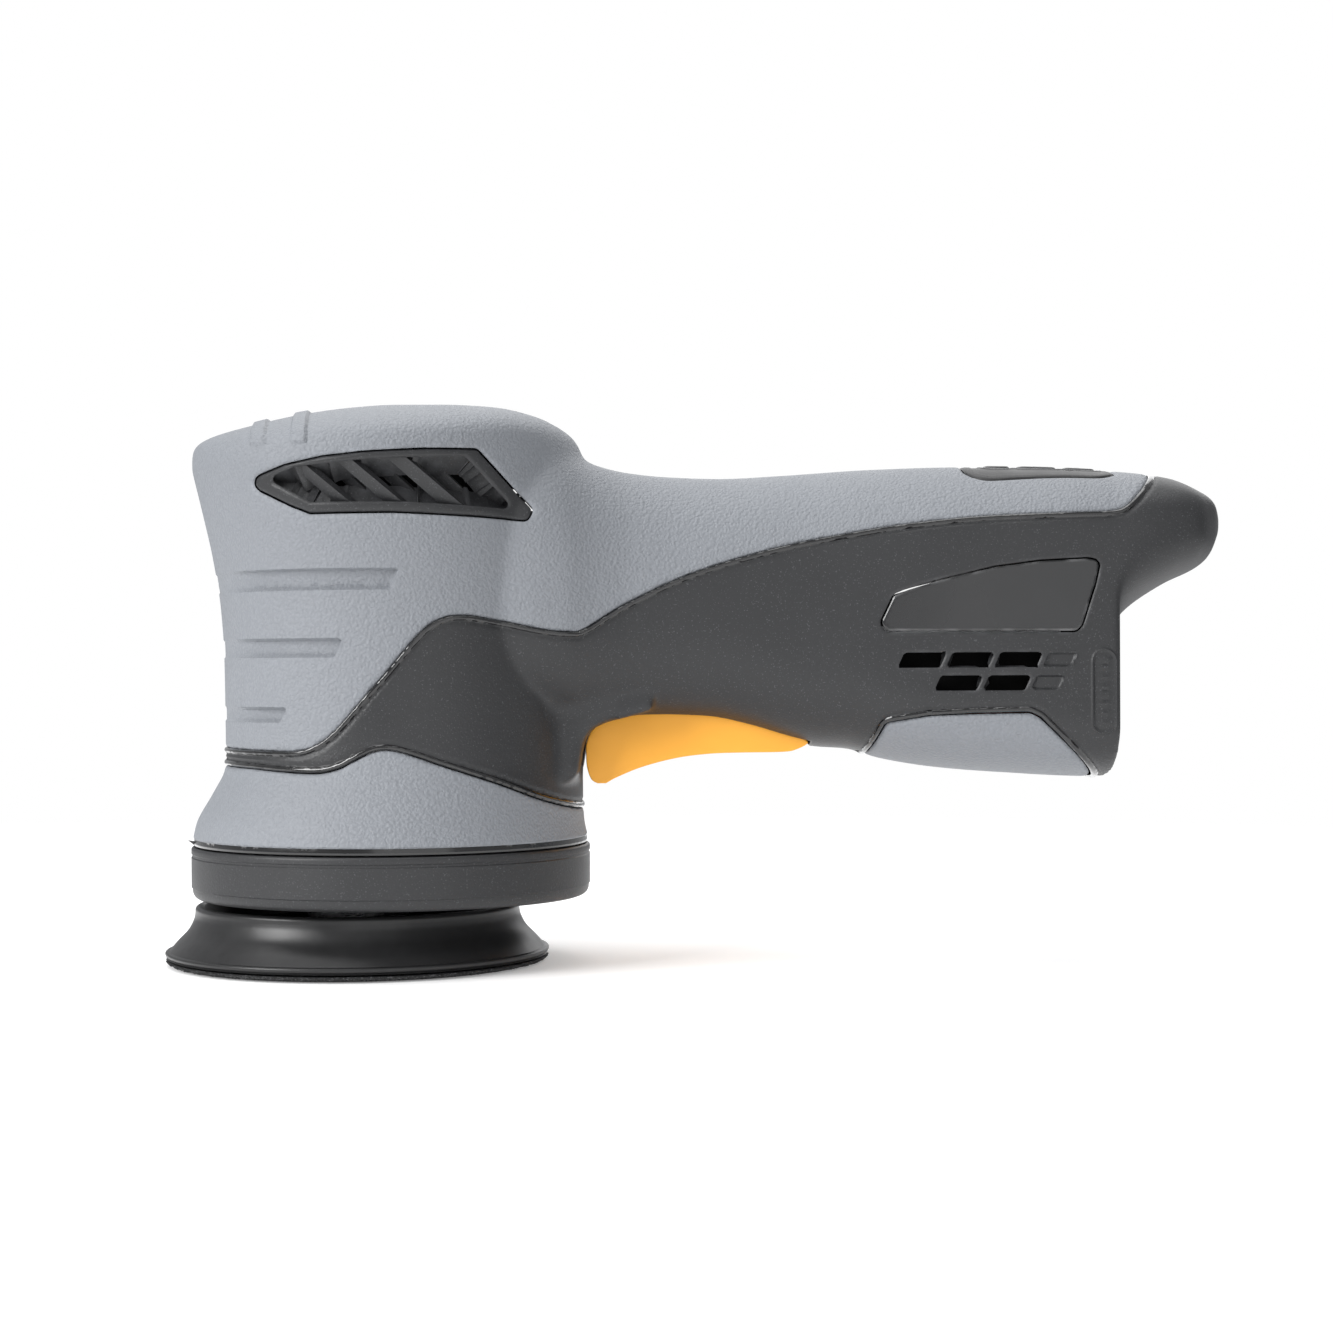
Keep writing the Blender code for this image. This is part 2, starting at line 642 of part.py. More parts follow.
def above_line(line, gap):
    points = [(x, z + gap) for x, z in line]
    return points + [(TAIL_END_X + FAR, points[-1][1]), (TAIL_END_X + FAR, HEAD_TOP_Z + FAR),
                     (points[0][0], HEAD_TOP_Z + FAR)]


def below_line(line, gap):
    points = [(x, z - gap) for x, z in line]
    return points + [(points[-1][0], SEAM_Z - FAR), (points[0][0], SEAM_Z - FAR)]


def rounded_plan(low_x, high_x, half, corner):
    """A rounded rectangle seen from above."""
    points = []
    for cx, cy, start in ((high_x - corner, half - corner, 0),
                          (low_x + corner, half - corner, 90),
                          (low_x + corner, corner - half, 180),
                          (high_x - corner, corner - half, 270)):
        for step in range(4):
            angle = math.radians(start + 30 * step)
            points.append((cx + corner * math.cos(angle), cy + corner * math.sin(angle)))
    return points


LEFT_HALF = box("left_half", (-FAR, -FAR, -FAR), (TAIL_END_X + FAR, -GAP / 2, HEAD_TOP_Z + FAR))


def pocket(name, outline, floor=POCKET_FLOOR, axis="Y", low=-FAR, high=FAR):
    """A recess in the hard shell, down to a floor that follows the outer form."""
    return cut(prism(name, outline, low, high, axis), floor)


def inlay(name, outline, finish, face=OUTER, back=SKIN_BACK):
    """A layer that lies in a pocket, flush with the outer form."""
    piece = copy_of(face, name, finish)
    keep(piece, prism(name + "_outline", outline, -FAR, FAR))
    cut(piece, back)
    return keep(piece, LEFT_HALF)


PANEL_PLAN = rounded_plan(PANEL_LOW_X, PANEL_HIGH_X, PANEL_HALF, 5)
PANEL_HOLE = prism("panel_hole", grown(PANEL_PLAN, GAP), RIM_Z - 12, FAR + RIM_Z, "Z")
PANEL_WINDOW = prism("panel_window", grown(PANEL_PLAN, -2.2), RIM_Z - 16, FAR + RIM_Z, "Z")
GRILLE_HOLE = prism("grille_hole", grown(GRILLE_OUTLINE, GAP), -FAR, -HEAD_HALF_WIDTH / 2)


# ---------------------------------------------------------------- skins and housing

def make_skins():
    grip = inlay("grip_skin_left", above_line(UPPER_LINE, GAP / 2), soft_grey())
    cut(grip, PANEL_HOLE, GRILLE_HOLE)
    collar = inlay("collar_skin_left", below_line(LOWER_LINE, GAP / 2), soft_grey())
    heel = inlay("heel_skin_left", HEEL_OUTLINE, soft_grey())
    badge = inlay("badge_left", BADGE_OUTLINE, material("badge", (0.03, 0.03, 0.032), 0.3),
                  BADGE_FACE)
    for piece in (grip, collar, heel, badge):
        mirrored(piece, piece.name.replace("left", "right"))


SCREW_PLACES = [(39.3, 57.0), (92.0, 60.0), (141.2, 70.3), (157.6, 84.2)]
SCREW_RADIUS = 1.4
SCREW_HEAD_RADIUS = 2.7
SCREW_HEAD_Y = 12.0
BOSS_RADIUS = 4.0


def vent_slots():
    """Leaning slots through the handle's side, in two rows."""
    slots = []
    width, height, lean = 8.0, 2.9, 1.3
    for row_x, row_z, count in ((REAR_X - 45.3, 58.0, 3), (REAR_X - 38.4, 53.6, 2)):
        for number in range(count):
            x = row_x + 9.1 * number
            outline = [(x, row_z), (x + width, row_z), (x + width + lean, row_z + height),
                       (x + lean, row_z + height)]
            slots.append(prism("vent_slot", outline, -FAR, FAR))
    return slots


def make_housing():
    """The hard shell in two halves, which part on the tool's middle plane."""
    left = copy_of(OUTER, "housing_left", hard_black())
    cut(left, CAVITY)
    keep(left, LEFT_HALF)
    cut(left, pocket("grip_pocket", above_line(UPPER_LINE, -GAP / 2)))
    cut(left, pocket("collar_pocket", below_line(LOWER_LINE, -GAP / 2)))
    cut(left, pocket("heel_pocket", grown(HEEL_OUTLINE, GAP)))
    cut(left, pocket("badge_pocket", grown(BADGE_OUTLINE, GAP)))
    cut(left, PANEL_WINDOW, *vent_slots())
    slot_half = TRIGGER_WIDTH / 2 + RUNNING_GAP
    cut(left, box("trigger_slot", (HEAD_BACK_X + 0.35, -slot_half, SEAM_Z),
                  (TRIGGER_TAIL_X + 0.8, slot_half, PIVOT_Z + 3)))
    cut(left, box("dock_window", (HANDLE_END_X - WALL - 2, -DOCK_HALF_WIDTH - GAP, DOCK_LOW_Z - GAP),
                  (HANDLE_END_X + 1, DOCK_HALF_WIDTH + GAP, DOCK_HIGH_Z + GAP)))
    for x, z in SCREW_PLACES:
        boss = rod("boss", (x, -FAR, z), (x, -GAP / 2, z), BOSS_RADIUS)
        keep(boss, CAVITY_GROWN)
        join(left, boss)
    right = mirrored(left, "housing_right")
    cut(left, GRILLE_HOLE)
    for x, z in SCREW_PLACES:
        cut(left, rod("pilot", (x, -SCREW_HEAD_Y - 3, z), (x, 1, z), SCREW_RADIUS + GAP))
        cut(right, rod("through", (x, -1, z), (x, FAR, z), SCREW_RADIUS + GAP))
        cut(right, rod("counterbore", (x, SCREW_HEAD_Y, z), (x, FAR, z),
                       SCREW_HEAD_RADIUS + GAP))
    far_hole = prism("grille_hole_right", grown(GRILLE_OUTLINE, GAP), HEAD_HALF_WIDTH / 2, FAR)
    cut(right, far_hole)


CAVITY_GROWN = form(WALL - 0.4, SEAM_Z - 5)


def make_housing_screws():
    for number, (x, z) in enumerate(SCREW_PLACES, 1):
        shank = rod(f"housing_screw_{number}", (x, -SCREW_HEAD_Y - 2, z),
                    (x, SCREW_HEAD_Y + 1, z), SCREW_RADIUS, steel(), 12)
        head = rod("screw_head", (x, SCREW_HEAD_Y + GAP, z), (x, SCREW_HEAD_Y + 2.5, z),
                   SCREW_HEAD_RADIUS)
        join(shank, head)


def make_grilles():
    """The vent on each side of the head: a frame with slanting louvres."""
    finish = hard_black()
    frame = copy_of(OUTER, "vent_grille_left", finish)
    keep(frame, prism("grille_outline", GRILLE_OUTLINE, -FAR, -HEAD_HALF_WIDTH / 2))
    cut(frame, prism("grille_opening", GRILLE_OPENING, -FAR, 0))
    for number in range(5):
        x = -9.0 + 6.6 * number
        outline = [(x, RIM_Z + 1), (x + 2.6, RIM_Z + 1), (x + 11.6, RIM_Z - 10),
                   (x + 9.0, RIM_Z - 10)]
        blade = prism("louvre", outline, -FAR, -HEAD_HALF_WIDTH / 2)
        keep(blade, POCKET_FLOOR)
        keep(blade, prism("louvre_limit", grown(GRILLE_OPENING, 0.6), -FAR, 0))
        join(frame, blade)
    cut(frame, CAVITY)
    mirrored(frame, "vent_grille_right")


# ---------------------------------------------------------------- pad and drive

def make_pad():
    edge = PAD_EDGE_Z
    flare = [(PAD_RIM_RADIUS, PAD_RIM_Z), (PAD_RIM_RADIUS + 0.3, PAD_RIM_Z - 2.4),
             (PAD_RIM_RADIUS + 1.6, PAD_RIM_Z - 4.9), (PAD_RIM_RADIUS + 3.6, edge + 1.6),
             (PAD_RADIUS, edge), (PAD_RADIUS, HOOK_THICKNESS + GAP)]
    inside = [(HUB_RADIUS + GAP, HOOK_THICKNESS + GAP), (HUB_RADIUS + GAP, PAD_DISH_Z),
              (PAD_RIM_RADIUS - 4, PAD_DISH_Z), (PAD_RIM_RADIUS - 2, PAD_RIM_Z)]
    turned("pad_body", flare + inside, rubber())
    turned("hook_face", [(0, HOOK_THICKNESS), (PAD_RADIUS, HOOK_THICKNESS),
                         (PAD_RADIUS - 0.4, 0.8), (PAD_RADIUS - 2.4, 0), (0, 0)],
           material("hook_face", (0.012, 0.012, 0.013), 0.9), ring=False)
    hub_top = PAD_RIM_Z + 0.4
    turned("pad_hub", [(HUB_RADIUS, hub_top), (HUB_RADIUS, HOOK_THICKNESS + GAP),
                       (4.1, HOOK_THICKNESS + GAP), (4.1, hub_top)], steel())
    turned("pad_spindle", [(0, 28.2), (3.7, 28.2), (3.7, 14.6), (8.5, 14.6),
                           (8.5, hub_top + GAP), (3.7, hub_top + GAP), (3.7, 4), (0, 4)],
           steel(), ring=False)


def make_bearing(name, outer, inner, low, high, centre_x):
    turned(name, ring_profile(outer, inner, low, high, 0.4), steel(), centre_x, 24)


def make_drive():
    """The rotor, its shaft and fan, and the balanced eccentric that carries the pad."""
    turned("motor_shaft", [(0, 104), (SHAFT_RADIUS - 0.5, 104), (SHAFT_RADIUS, 103.5),
                           (SHAFT_RADIUS, 31), (0, 31)], steel(), AXIS_X, 20, ring=False)
    bore = SHAFT_RADIUS + GAP
    turned("rotor_core", ring_profile(11.5, bore, STATOR_LOW_Z - 1.5, STATOR_HIGH_Z + 1.5),
           material("lamination", (0.25, 0.25, 0.27), 0.45, 1.0), AXIS_X, 24)
    turned("rotor_magnets", ring_profile(STATOR_BORE - RUNNING_GAP, 11.8, STATOR_LOW_Z,
                                         STATOR_HIGH_Z),
           material("magnet", (0.12, 0.12, 0.13), 0.3, 0.8), AXIS_X, 24)
    fan = turned("cooling_fan", [(8, FAN_LOW_Z + 7), (8, FAN_LOW_Z + 1.5),
                                 (FAN_RADIUS, FAN_LOW_Z + 1.5), (FAN_RADIUS, FAN_LOW_Z),
                                 (bore, FAN_LOW_Z), (bore, FAN_LOW_Z + 7)],
                 material("fan_plastic", (0.04, 0.04, 0.04), 0.5), AXIS_X, 28)
    blades = 9
    for number in range(blades):
        blade = box("fan_blade", (7, -0.6, FAN_LOW_Z + 1), (FAN_RADIUS - 0.5, 0.6, FAN_LOW_Z + 6.5))
        turn = Matrix.Rotation(2 * math.pi * number / blades, 4, "Z")
        blade.data.transform(Matrix.Translation((AXIS_X * MM, 0, 0)) @ turn)
        join(fan, blade)
    make_eccentric()


def make_eccentric():
    finish = material("counterweight", (0.3, 0.3, 0.32), 0.45, 1.0)
    bore = BEARING_RADIUS + GAP
    body = turned("eccentric_weight", [(0, 30), (15, 30), (15, 15), (bore, 15),
                                       (bore, 28.6), (0, 28.6)], finish, 0, ring=False)
    hub = turned("eccentric_hub", ring_profile(9, SHAFT_RADIUS + GAP, 29, 40.5), None, AXIS_X, 24)
    weight = turned("weight_disc", [(0, 30), (30, 30), (30, 20), (0, 20)], None, AXIS_X, 28,
                    ring=False)
    cut(weight, box("weight_trim", (-60, -60, 0), (BEARING_RADIUS + 2, 60, 60)))
    join(body, hub, weight)
    shaft_hole = rod("shaft_hole", (AXIS_X, 0, 30.5), (AXIS_X, 0, 60), SHAFT_RADIUS + GAP)
    cut(body, shaft_hole)


def make_motor():
    turned("stator_core", ring_profile(STATOR_RADIUS, STATOR_BORE, STATOR_LOW_Z, STATOR_HIGH_Z),
           material("lamination", (0.25, 0.25, 0.27), 0.45, 1.0), AXIS_X)
    winding = (STATOR_RADIUS - 2, STATOR_BORE + 1)
    turned("windings_lower", ring_profile(*winding, STATOR_LOW_Z - 5, STATOR_LOW_Z - GAP, 1.2),
           copper(), AXIS_X)
    turned("windings_upper", ring_profile(*winding, STATOR_HIGH_Z + GAP, STATOR_HIGH_Z + 5, 1.2),
           copper(), AXIS_X)
    can_bore = STATOR_RADIUS + GAP
    turned("motor_can", ring_profile(can_bore + CAN_WALL, can_bore, BRACKET_Z + 4.3,
                                     STATOR_HIGH_Z + 1, 0.5), aluminium(), AXIS_X)
    cup = LOWER_BEARING_RADIUS + GAP
    turned("motor_bracket", [(16.5, BRACKET_Z + 11), (16.5, BRACKET_Z + 4),
                             (28.3, BRACKET_Z + 4), (28.3, BRACKET_Z), (10, BRACKET_Z),
                             (10, BRACKET_Z + 1.7), (cup, BRACKET_Z + 1.7),
                             (cup, BRACKET_Z + 11)], aluminium(), AXIS_X)
    bore = SHAFT_RADIUS + GAP
    make_bearing("motor_bearing_lower", LOWER_BEARING_RADIUS, bore, BRACKET_Z + 2,
                 BRACKET_Z + 10, AXIS_X)
    make_bearing("motor_bearing_upper", BEARING_RADIUS, bore, UPPER_BEARING_Z,
                 UPPER_BEARING_Z + 6.5, AXIS_X)
    seat = BEARING_RADIUS + GAP
    low = UPPER_BEARING_Z - 1.5
    turned("bearing_holder", [(seat + 2, low + 7), (seat + 2, low + 1.5), (32, low + 1.5),
                              (32, low), (7, low), (7, low + 1.2), (seat, low + 1.2),
                              (seat, low + 7)], aluminium(), AXIS_X)
    make_bearing("spindle_bearing_lower", BEARING_RADIUS, 4.0, 15.3, 20.5, 0)
    make_bearing("spindle_bearing_upper", BEARING_RADIUS, 4.0, 23, 28.2, 0)


def make_shroud():
    inner = SHROUD_RADIUS - SHROUD_WALL
    top = SEAM_Z - GAP
    turned("shroud", [(SHROUD_RADIUS - 1, top), (SHROUD_RADIUS, top - 0.6),
                      (SHROUD_RADIUS, SHROUD_LOW_Z + 2), (SHROUD_RADIUS - 0.6, SHROUD_LOW_Z + 0.6),
                      (SHROUD_RADIUS - 2, SHROUD_LOW_Z), (inner - 1, SHROUD_LOW_Z),
                      (inner, SHROUD_LOW_Z + 1.5), (inner, top - 2), (inner - 2.5, top - 2),
                      (inner - 2.5, top)], hard_black(), SHROUD_CENTRE_X, 40)


# ---------------------------------------------------------------- trigger and switch

def make_trigger():
    outline = [
        (TRIGGER_FRONT_X, 39.6), (TRIGGER_FRONT_X, 44.0), (TRIGGER_FRONT_X + 1.4, 46.6),
        (TRIGGER_FRONT_X + 4.0, 48.4), (TRIGGER_FRONT_X + 4.2, TRIGGER_TOP_Z),
        (PIVOT_X - 6, TRIGGER_TOP_Z), (PIVOT_X - 2.5, PIVOT_Z + 3.4), (PIVOT_X + 2.5, PIVOT_Z + 3),
        (PIVOT_X + 3.6, PIVOT_Z), (TRIGGER_TAIL_X - 1.5, 46.0), (TRIGGER_TAIL_X, 43.4),
        (TRIGGER_TAIL_X - 1.6, 42.1), (84.8, 41.6), (77, 41.6), (70.3, 41.4), (63.7, 40.5),
        (57, 38.8), (52, 36.8), (49.4, 35.4), (48.0, 35.5), (47.0, 36.6)]
    half = TRIGGER_WIDTH / 2
    guide_piece = prism("trigger_outline", outline, -half, half)
    body = copy_of(guide_piece, "trigger", material("trigger_orange", (1.0, 0.38, 0.06), 0.4))
    bevel = body.modifiers.new("soft_edge", "BEVEL")
    bevel.width = 1.6 * MM
    bevel.segments = 2
    bevel.limit_method = "ANGLE"
    bevel.angle_limit = math.radians(60)
    body.data = evaluated_mesh(body)
    body.modifiers.clear()
    cut(body, rod("pin_hole", (PIVOT_X, -30, PIVOT_Z), (PIVOT_X, 30, PIVOT_Z),
                  PIVOT_PIN_RADIUS + GAP, sides=20))
    pin_half = NECK_HALF_WIDTH - WALL - 5.6
    rod("trigger_pin", (PIVOT_X, -pin_half, PIVOT_Z), (PIVOT_X, pin_half, PIVOT_Z),
        PIVOT_PIN_RADIUS, steel())


def make_switch():
    finish = material("switch_plastic", (0.05, 0.05, 0.055), 0.5)
    body = box("switch_body", (SPRING_X - 4, -8, SWITCH_LOW_Z), (80, 8, SWITCH_LOW_Z + 17),
               finish, 0.8)
    cut(body, rod("plunger_hole", (PLUNGER_X, 0, SWITCH_LOW_Z - 2), (PLUNGER_X, 0, SWITCH_LOW_Z + 6),
                  PLUNGER_RADIUS + GAP))
    rod("switch_plunger", (PLUNGER_X, 0, TRIGGER_TOP_Z + GAP), (PLUNGER_X, 0, SWITCH_LOW_Z + 2),
        PLUNGER_RADIUS, material("plunger", (0.6, 0.6, 0.58), 0.4))
    low = TRIGGER_TOP_Z + GAP + SPRING_WIRE
    high = SWITCH_LOW_Z - GAP - SPRING_WIRE
    turns, steps = 4, 8
    count = turns * steps
    points = []
    for number in range(count + 1):
        angle = 2 * math.pi * number / steps
        rise = low + (high - low) * number / count
        points.append((SPRING_X + SPRING_RADIUS * math.cos(angle),
                       SPRING_RADIUS * math.sin(angle), rise))
    tube("trigger_spring", points, SPRING_WIRE, steel())


# ---------------------------------------------------------------- panel, dock and boards

BUTTON_PLANS = [(PANEL_LOW_X + 4.6, PANEL_LOW_X + 9.6, 8.0, 2.2),
                (PANEL_LOW_X + 11.2, PANEL_LOW_X + 18.6, 8.0, 1.0),
                (PANEL_LOW_X + 20.2, PANEL_LOW_X + 26.2, 8.0, 1.0)]
BUTTON_DEPTH = 2.4


def make_panel():
    """The control panel in the handle's top, and its three buttons."""
    panel = copy_of(OUTER, "control_panel", material("panel", (0.02, 0.02, 0.022), 0.4))
    keep(panel, prism("panel_plan", PANEL_PLAN, RIM_Z - 12, FAR + RIM_Z, "Z"))
    cut(panel, SKIN_BACK)
    finish = material("button", (0.025, 0.025, 0.027), 0.5)
    proud = form(-BUTTON_RISE)
    for number, (low, high, half, corner) in enumerate(BUTTON_PLANS, 1):
        plan = rounded_plan(low, high, half, corner)
        cut(panel, prism("button_hole", grown(plan, GAP), RIM_Z - 12, FAR + RIM_Z, "Z"))
        button = copy_of(proud, f"button_{number}", finish)
        floor = HANDLE_TOP_Z - BUTTON_DEPTH - 1.6
        keep(button, prism("button_plan", plan, floor, FAR + RIM_Z, "Z"))
    box("display_board", (PANEL_LOW_X + 3, -9, HANDLE_TOP_Z - 7.2),
        (PANEL_HIGH_X - 3, 9, HANDLE_TOP_Z - 5.6), material("board", (0.02, 0.16, 0.08), 0.5))


def make_dock():
    """The battery face: a plate with a socket, and the blades that stand in it."""
    dock = box("battery_dock", (HANDLE_END_X - 4, -DOCK_HALF_WIDTH, DOCK_LOW_Z),
               (HANDLE_END_X, DOCK_HALF_WIDTH, DOCK_HIGH_Z), hard_black())
    cut(dock, box("socket", (HANDLE_END_X - 2.4, -11, DOCK_LOW_Z + 3.5),
                  (HANDLE_END_X + 2, 11, DOCK_HIGH_Z - 4)))
    low_y = -BLADE_PITCH * (BLADE_COUNT - 1) / 2
    for number in range(BLADE_COUNT):
        y = low_y + BLADE_PITCH * number
        low = (HANDLE_END_X - 9, y - 0.4, DOCK_LOW_Z + 6)
        high = (HANDLE_END_X - 0.4, y + 0.4, DOCK_LOW_Z + 14)
        cut(dock, box("blade_slot", [v - GAP for v in low], [v + GAP for v in high]))
        box(f"terminal_blade_{number + 1}", low, high, material("brass", (0.75, 0.55, 0.2), 0.3, 1.0))


def make_controller():
    tray = box("controller_tray", (98, -17, 56), (138, 17, 66), aluminium())
    cut(tray, box("tray_hollow", (99.5, -15.5, 57.5), (136.5, 15.5, 70)))
    box("controller_board", (100, -15, 60), (136, 15, 61.6), material("board", (0.02, 0.16, 0.08), 0.5))


def make_leads():
    """Three motor leads over the switch, and two leads from the battery blades."""
    finish = material("lead", (0.5, 0.03, 0.02), 0.5)
    for number, y in enumerate((-4.0, 0.0, 4.0), 1):
        start_x = AXIS_X + math.sqrt((STATOR_RADIUS - 2) ** 2 - y ** 2) + 1.4
        route = smooth_line([(start_x, y, STATOR_HIGH_Z + 3.4), (40, y, 84), (58, y, 82.6),
                             (76, y, 82.4), (88, y, 77), (94, y, 70), (97, y, 68.0),
                             (101, y, 67.4)], 2)
        tube(f"motor_lead_{number}", route, 0.9, finish)
    for number, y in enumerate((-BLADE_PITCH * 1.5, BLADE_PITCH * 1.5), 1):
        route = smooth_line([(HANDLE_END_X - 10.5, y, 50), (HANDLE_END_X - 14, y, 48.6),
                             (124, y, 49), (116, y, 51.4), (113, y, 54.6)], 2)
        tube(f"battery_lead_{number}", route, 0.9, finish)


CUT_PIECES = ("grip", "collar", "heel", "badge", "housing", "vent", "control", "button",
              "trigger", "cooling", "battery", "eccentric", "switch", "controller")

make_skins()
make_housing()
make_housing_screws()
make_grilles()
make_pad()
make_drive()
make_motor()
make_shroud()
make_trigger()
make_switch()
make_panel()
make_dock()
make_controller()
make_leads()
for piece in PARTS.objects:
    if piece.type == "MESH" and piece.name.split("_")[0] in CUT_PIECES:
        simplify(piece)
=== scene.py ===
"""Looks of a cordless orbital sander, built around its CAD parts.

The soft grip, the hard shell, the pad and the controls are modelled finely here and stand
for their CAD nodes.  Sizes are in millimetres until a mesh is finished.
"""

import math

import bmesh
import bpy
import numpy as np
from bpy.props import FloatProperty, FloatVectorProperty, IntProperty, PointerProperty
from mathutils import Matrix, Vector
from mathutils.bvhtree import BVHTree


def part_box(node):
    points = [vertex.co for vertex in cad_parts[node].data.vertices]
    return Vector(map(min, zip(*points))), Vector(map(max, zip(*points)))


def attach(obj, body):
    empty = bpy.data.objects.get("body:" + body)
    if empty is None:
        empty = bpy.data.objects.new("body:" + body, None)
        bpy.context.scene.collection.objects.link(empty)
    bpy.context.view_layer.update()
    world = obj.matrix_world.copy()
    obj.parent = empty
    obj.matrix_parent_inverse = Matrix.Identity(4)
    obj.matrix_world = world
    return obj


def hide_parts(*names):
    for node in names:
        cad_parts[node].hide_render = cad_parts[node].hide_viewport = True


bl_info = {
    "name": "Cordless Orbital Sander",
    "version": (1, 0, 0),
    "blender": (4, 5, 0),
    "location": "View3D > Sidebar > Sander",
    "description": "Builds the soft grip, shell, pad and controls of a cordless orbital sander",
    "category": "Object",
}

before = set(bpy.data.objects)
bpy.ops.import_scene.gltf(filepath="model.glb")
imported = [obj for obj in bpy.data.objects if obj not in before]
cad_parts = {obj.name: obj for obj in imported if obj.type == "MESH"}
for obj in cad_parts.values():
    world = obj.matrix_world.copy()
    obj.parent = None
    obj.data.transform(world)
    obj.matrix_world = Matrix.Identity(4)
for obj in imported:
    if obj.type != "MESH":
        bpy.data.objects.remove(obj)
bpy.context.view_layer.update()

MM = 0.001
GAP = 0.3                  # between two pieces that touch
FAR = 90.0                 # beyond the tool on every side


def span(node):
    """A CAD node's lowest and highest corner, in millimetres."""
    low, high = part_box(node)
    return low / MM, high / MM


# ---------------------------------------------------------------- sizes from the frame

HOOK_HIGH = span("hook_face")[1]
PAD_LOW, PAD_HIGH = span("pad_body")
SHROUD_LOW, SHROUD_HIGH = span("shroud")
GRIP_LOW, GRIP_HIGH = span("grip_skin_left")
TRIGGER_LOW, TRIGGER_HIGH = span("trigger")
DOCK_LOW, DOCK_HIGH = span("battery_dock")
SHELL_HIGH = span("housing_left")[1]

PAD_RADIUS = HOOK_HIGH.x
SHROUD_RADIUS = (SHROUD_HIGH.x - SHROUD_LOW.x) / 2
SHROUD_CENTRE_X = (SHROUD_HIGH.x + SHROUD_LOW.x) / 2
SEAM_Z = SHROUD_HIGH.z + GAP
HEAD_TOP_Z = GRIP_HIGH.z
HEAD_FRONT_X = GRIP_LOW.x
HEAD_HALF_WIDTH = -GRIP_LOW.y
HEAD_BACK_X = TRIGGER_LOW.x - 0.9
HANDLE_END_X = DOCK_HIGH.x
TAIL_END_X = SHELL_HIGH.x
REAR_X = HANDLE_END_X + 3.0    # what lies along the handle is set out from here

WAIST_Z = SEAM_Z + 15.7
RIM_Z = HEAD_TOP_Z - 12.9
WAIST_FRONT_X = HEAD_FRONT_X + 6.3
WAIST_HALF_WIDTH = HEAD_HALF_WIDTH - 4.4
DOME_POWER = 6.0
CROWN_DROP = 5.5
HANDLE_TOP_Z = HEAD_TOP_Z - 12.6
HANDLE_LOW_Z = SEAM_Z + 12.5
NECK_LOW_Z = SEAM_Z + 24.0
NECK_HALF_WIDTH = 20.4
REAR_HALF_WIDTH = 25.4
TAIL_LOW_Z = 63.8
SECTION_POWER = 2.5


# ---------------------------------------------------------------- settings

class SanderSizes(bpy.types.PropertyGroup):
    """Sizes of the fine detail."""
    mesh_step: FloatProperty(
        name="Mesh Step", description="Distance between the points of the moulded forms",
        default=0.00062, min=0.0003, unit="LENGTH")
    edge_round: FloatProperty(
        name="Edge Round", description="Radius of the rounded edges of the soft grip",
        default=0.0009, min=0.0, unit="LENGTH")
    bead_width: FloatProperty(
        name="Bead Width", description="Width of the glossy bead between grip and shell",
        default=0.001, min=0.0, unit="LENGTH")
    bead_rise: FloatProperty(
        name="Bead Rise", description="Height of the glossy bead",
        default=0.00028, min=0.0, unit="LENGTH")
    groove_depth: FloatProperty(
        name="Groove Depth", description="Depth of the finger grooves round the head",
        default=0.0015, min=0.0, unit="LENGTH")
    grain: FloatProperty(
        name="Grain", description="Depth of the leathery grain of the soft grip",
        default=0.0002, min=0.0, unit="LENGTH")
    turn_steps: IntProperty(
        name="Turn Steps", description="Steps round each turned piece", default=192, min=24)


class SanderColours(bpy.types.PropertyGroup):
    """Colours of the main finishes."""
    grip: FloatVectorProperty(
        name="Grip", description="Soft grip colour", subtype="COLOR", size=3,
        default=(0.235, 0.248, 0.27), min=0, max=1)
    shell: FloatVectorProperty(
        name="Shell", description="Textured hard shell colour", subtype="COLOR", size=3,
        default=(0.020, 0.0205, 0.022), min=0, max=1)
    trigger: FloatVectorProperty(
        name="Trigger", description="Trigger colour", subtype="COLOR", size=3,
        default=(1.0, 0.45, 0.04), min=0, max=1)
    pad: FloatVectorProperty(
        name="Pad", description="Pad rubber colour", subtype="COLOR", size=3,
        default=(0.012, 0.012, 0.0125), min=0, max=1)


def sizes():
    return bpy.context.scene.sander_sizes


def colours():
    return bpy.context.scene.sander_colours


# ---------------------------------------------------------------- the outer form

def fair(points):
    """A smooth function through (x, value) points that never overshoots them."""
    xs = [p[0] for p in points]
    ys = [p[1] for p in points]
    slopes = [(ys[i + 1] - ys[i]) / (xs[i + 1] - xs[i]) for i in range(len(xs) - 1)]
    rates = [slopes[0]]
    for before, after in zip(slopes, slopes[1:]):
        turning = before * after <= 0
        rates.append(0.0 if turning else 2 * before * after / (before + after))
    rates.append(slopes[-1])

    def value(x):
        if x <= xs[0]:
            return ys[0]
        if x >= xs[-1]:
            return ys[-1]
        i = max(k for k in range(len(xs) - 1) if xs[k] <= x)
        h = xs[i + 1] - xs[i]
        t = (x - xs[i]) / h
        rise = (1 + 2 * t) * (1 - t) ** 2 * ys[i] + t * t * (3 - 2 * t) * ys[i + 1]
        return rise + h * (t * (1 - t) ** 2 * rates[i] + t * t * (t - 1) * rates[i + 1])
    return value


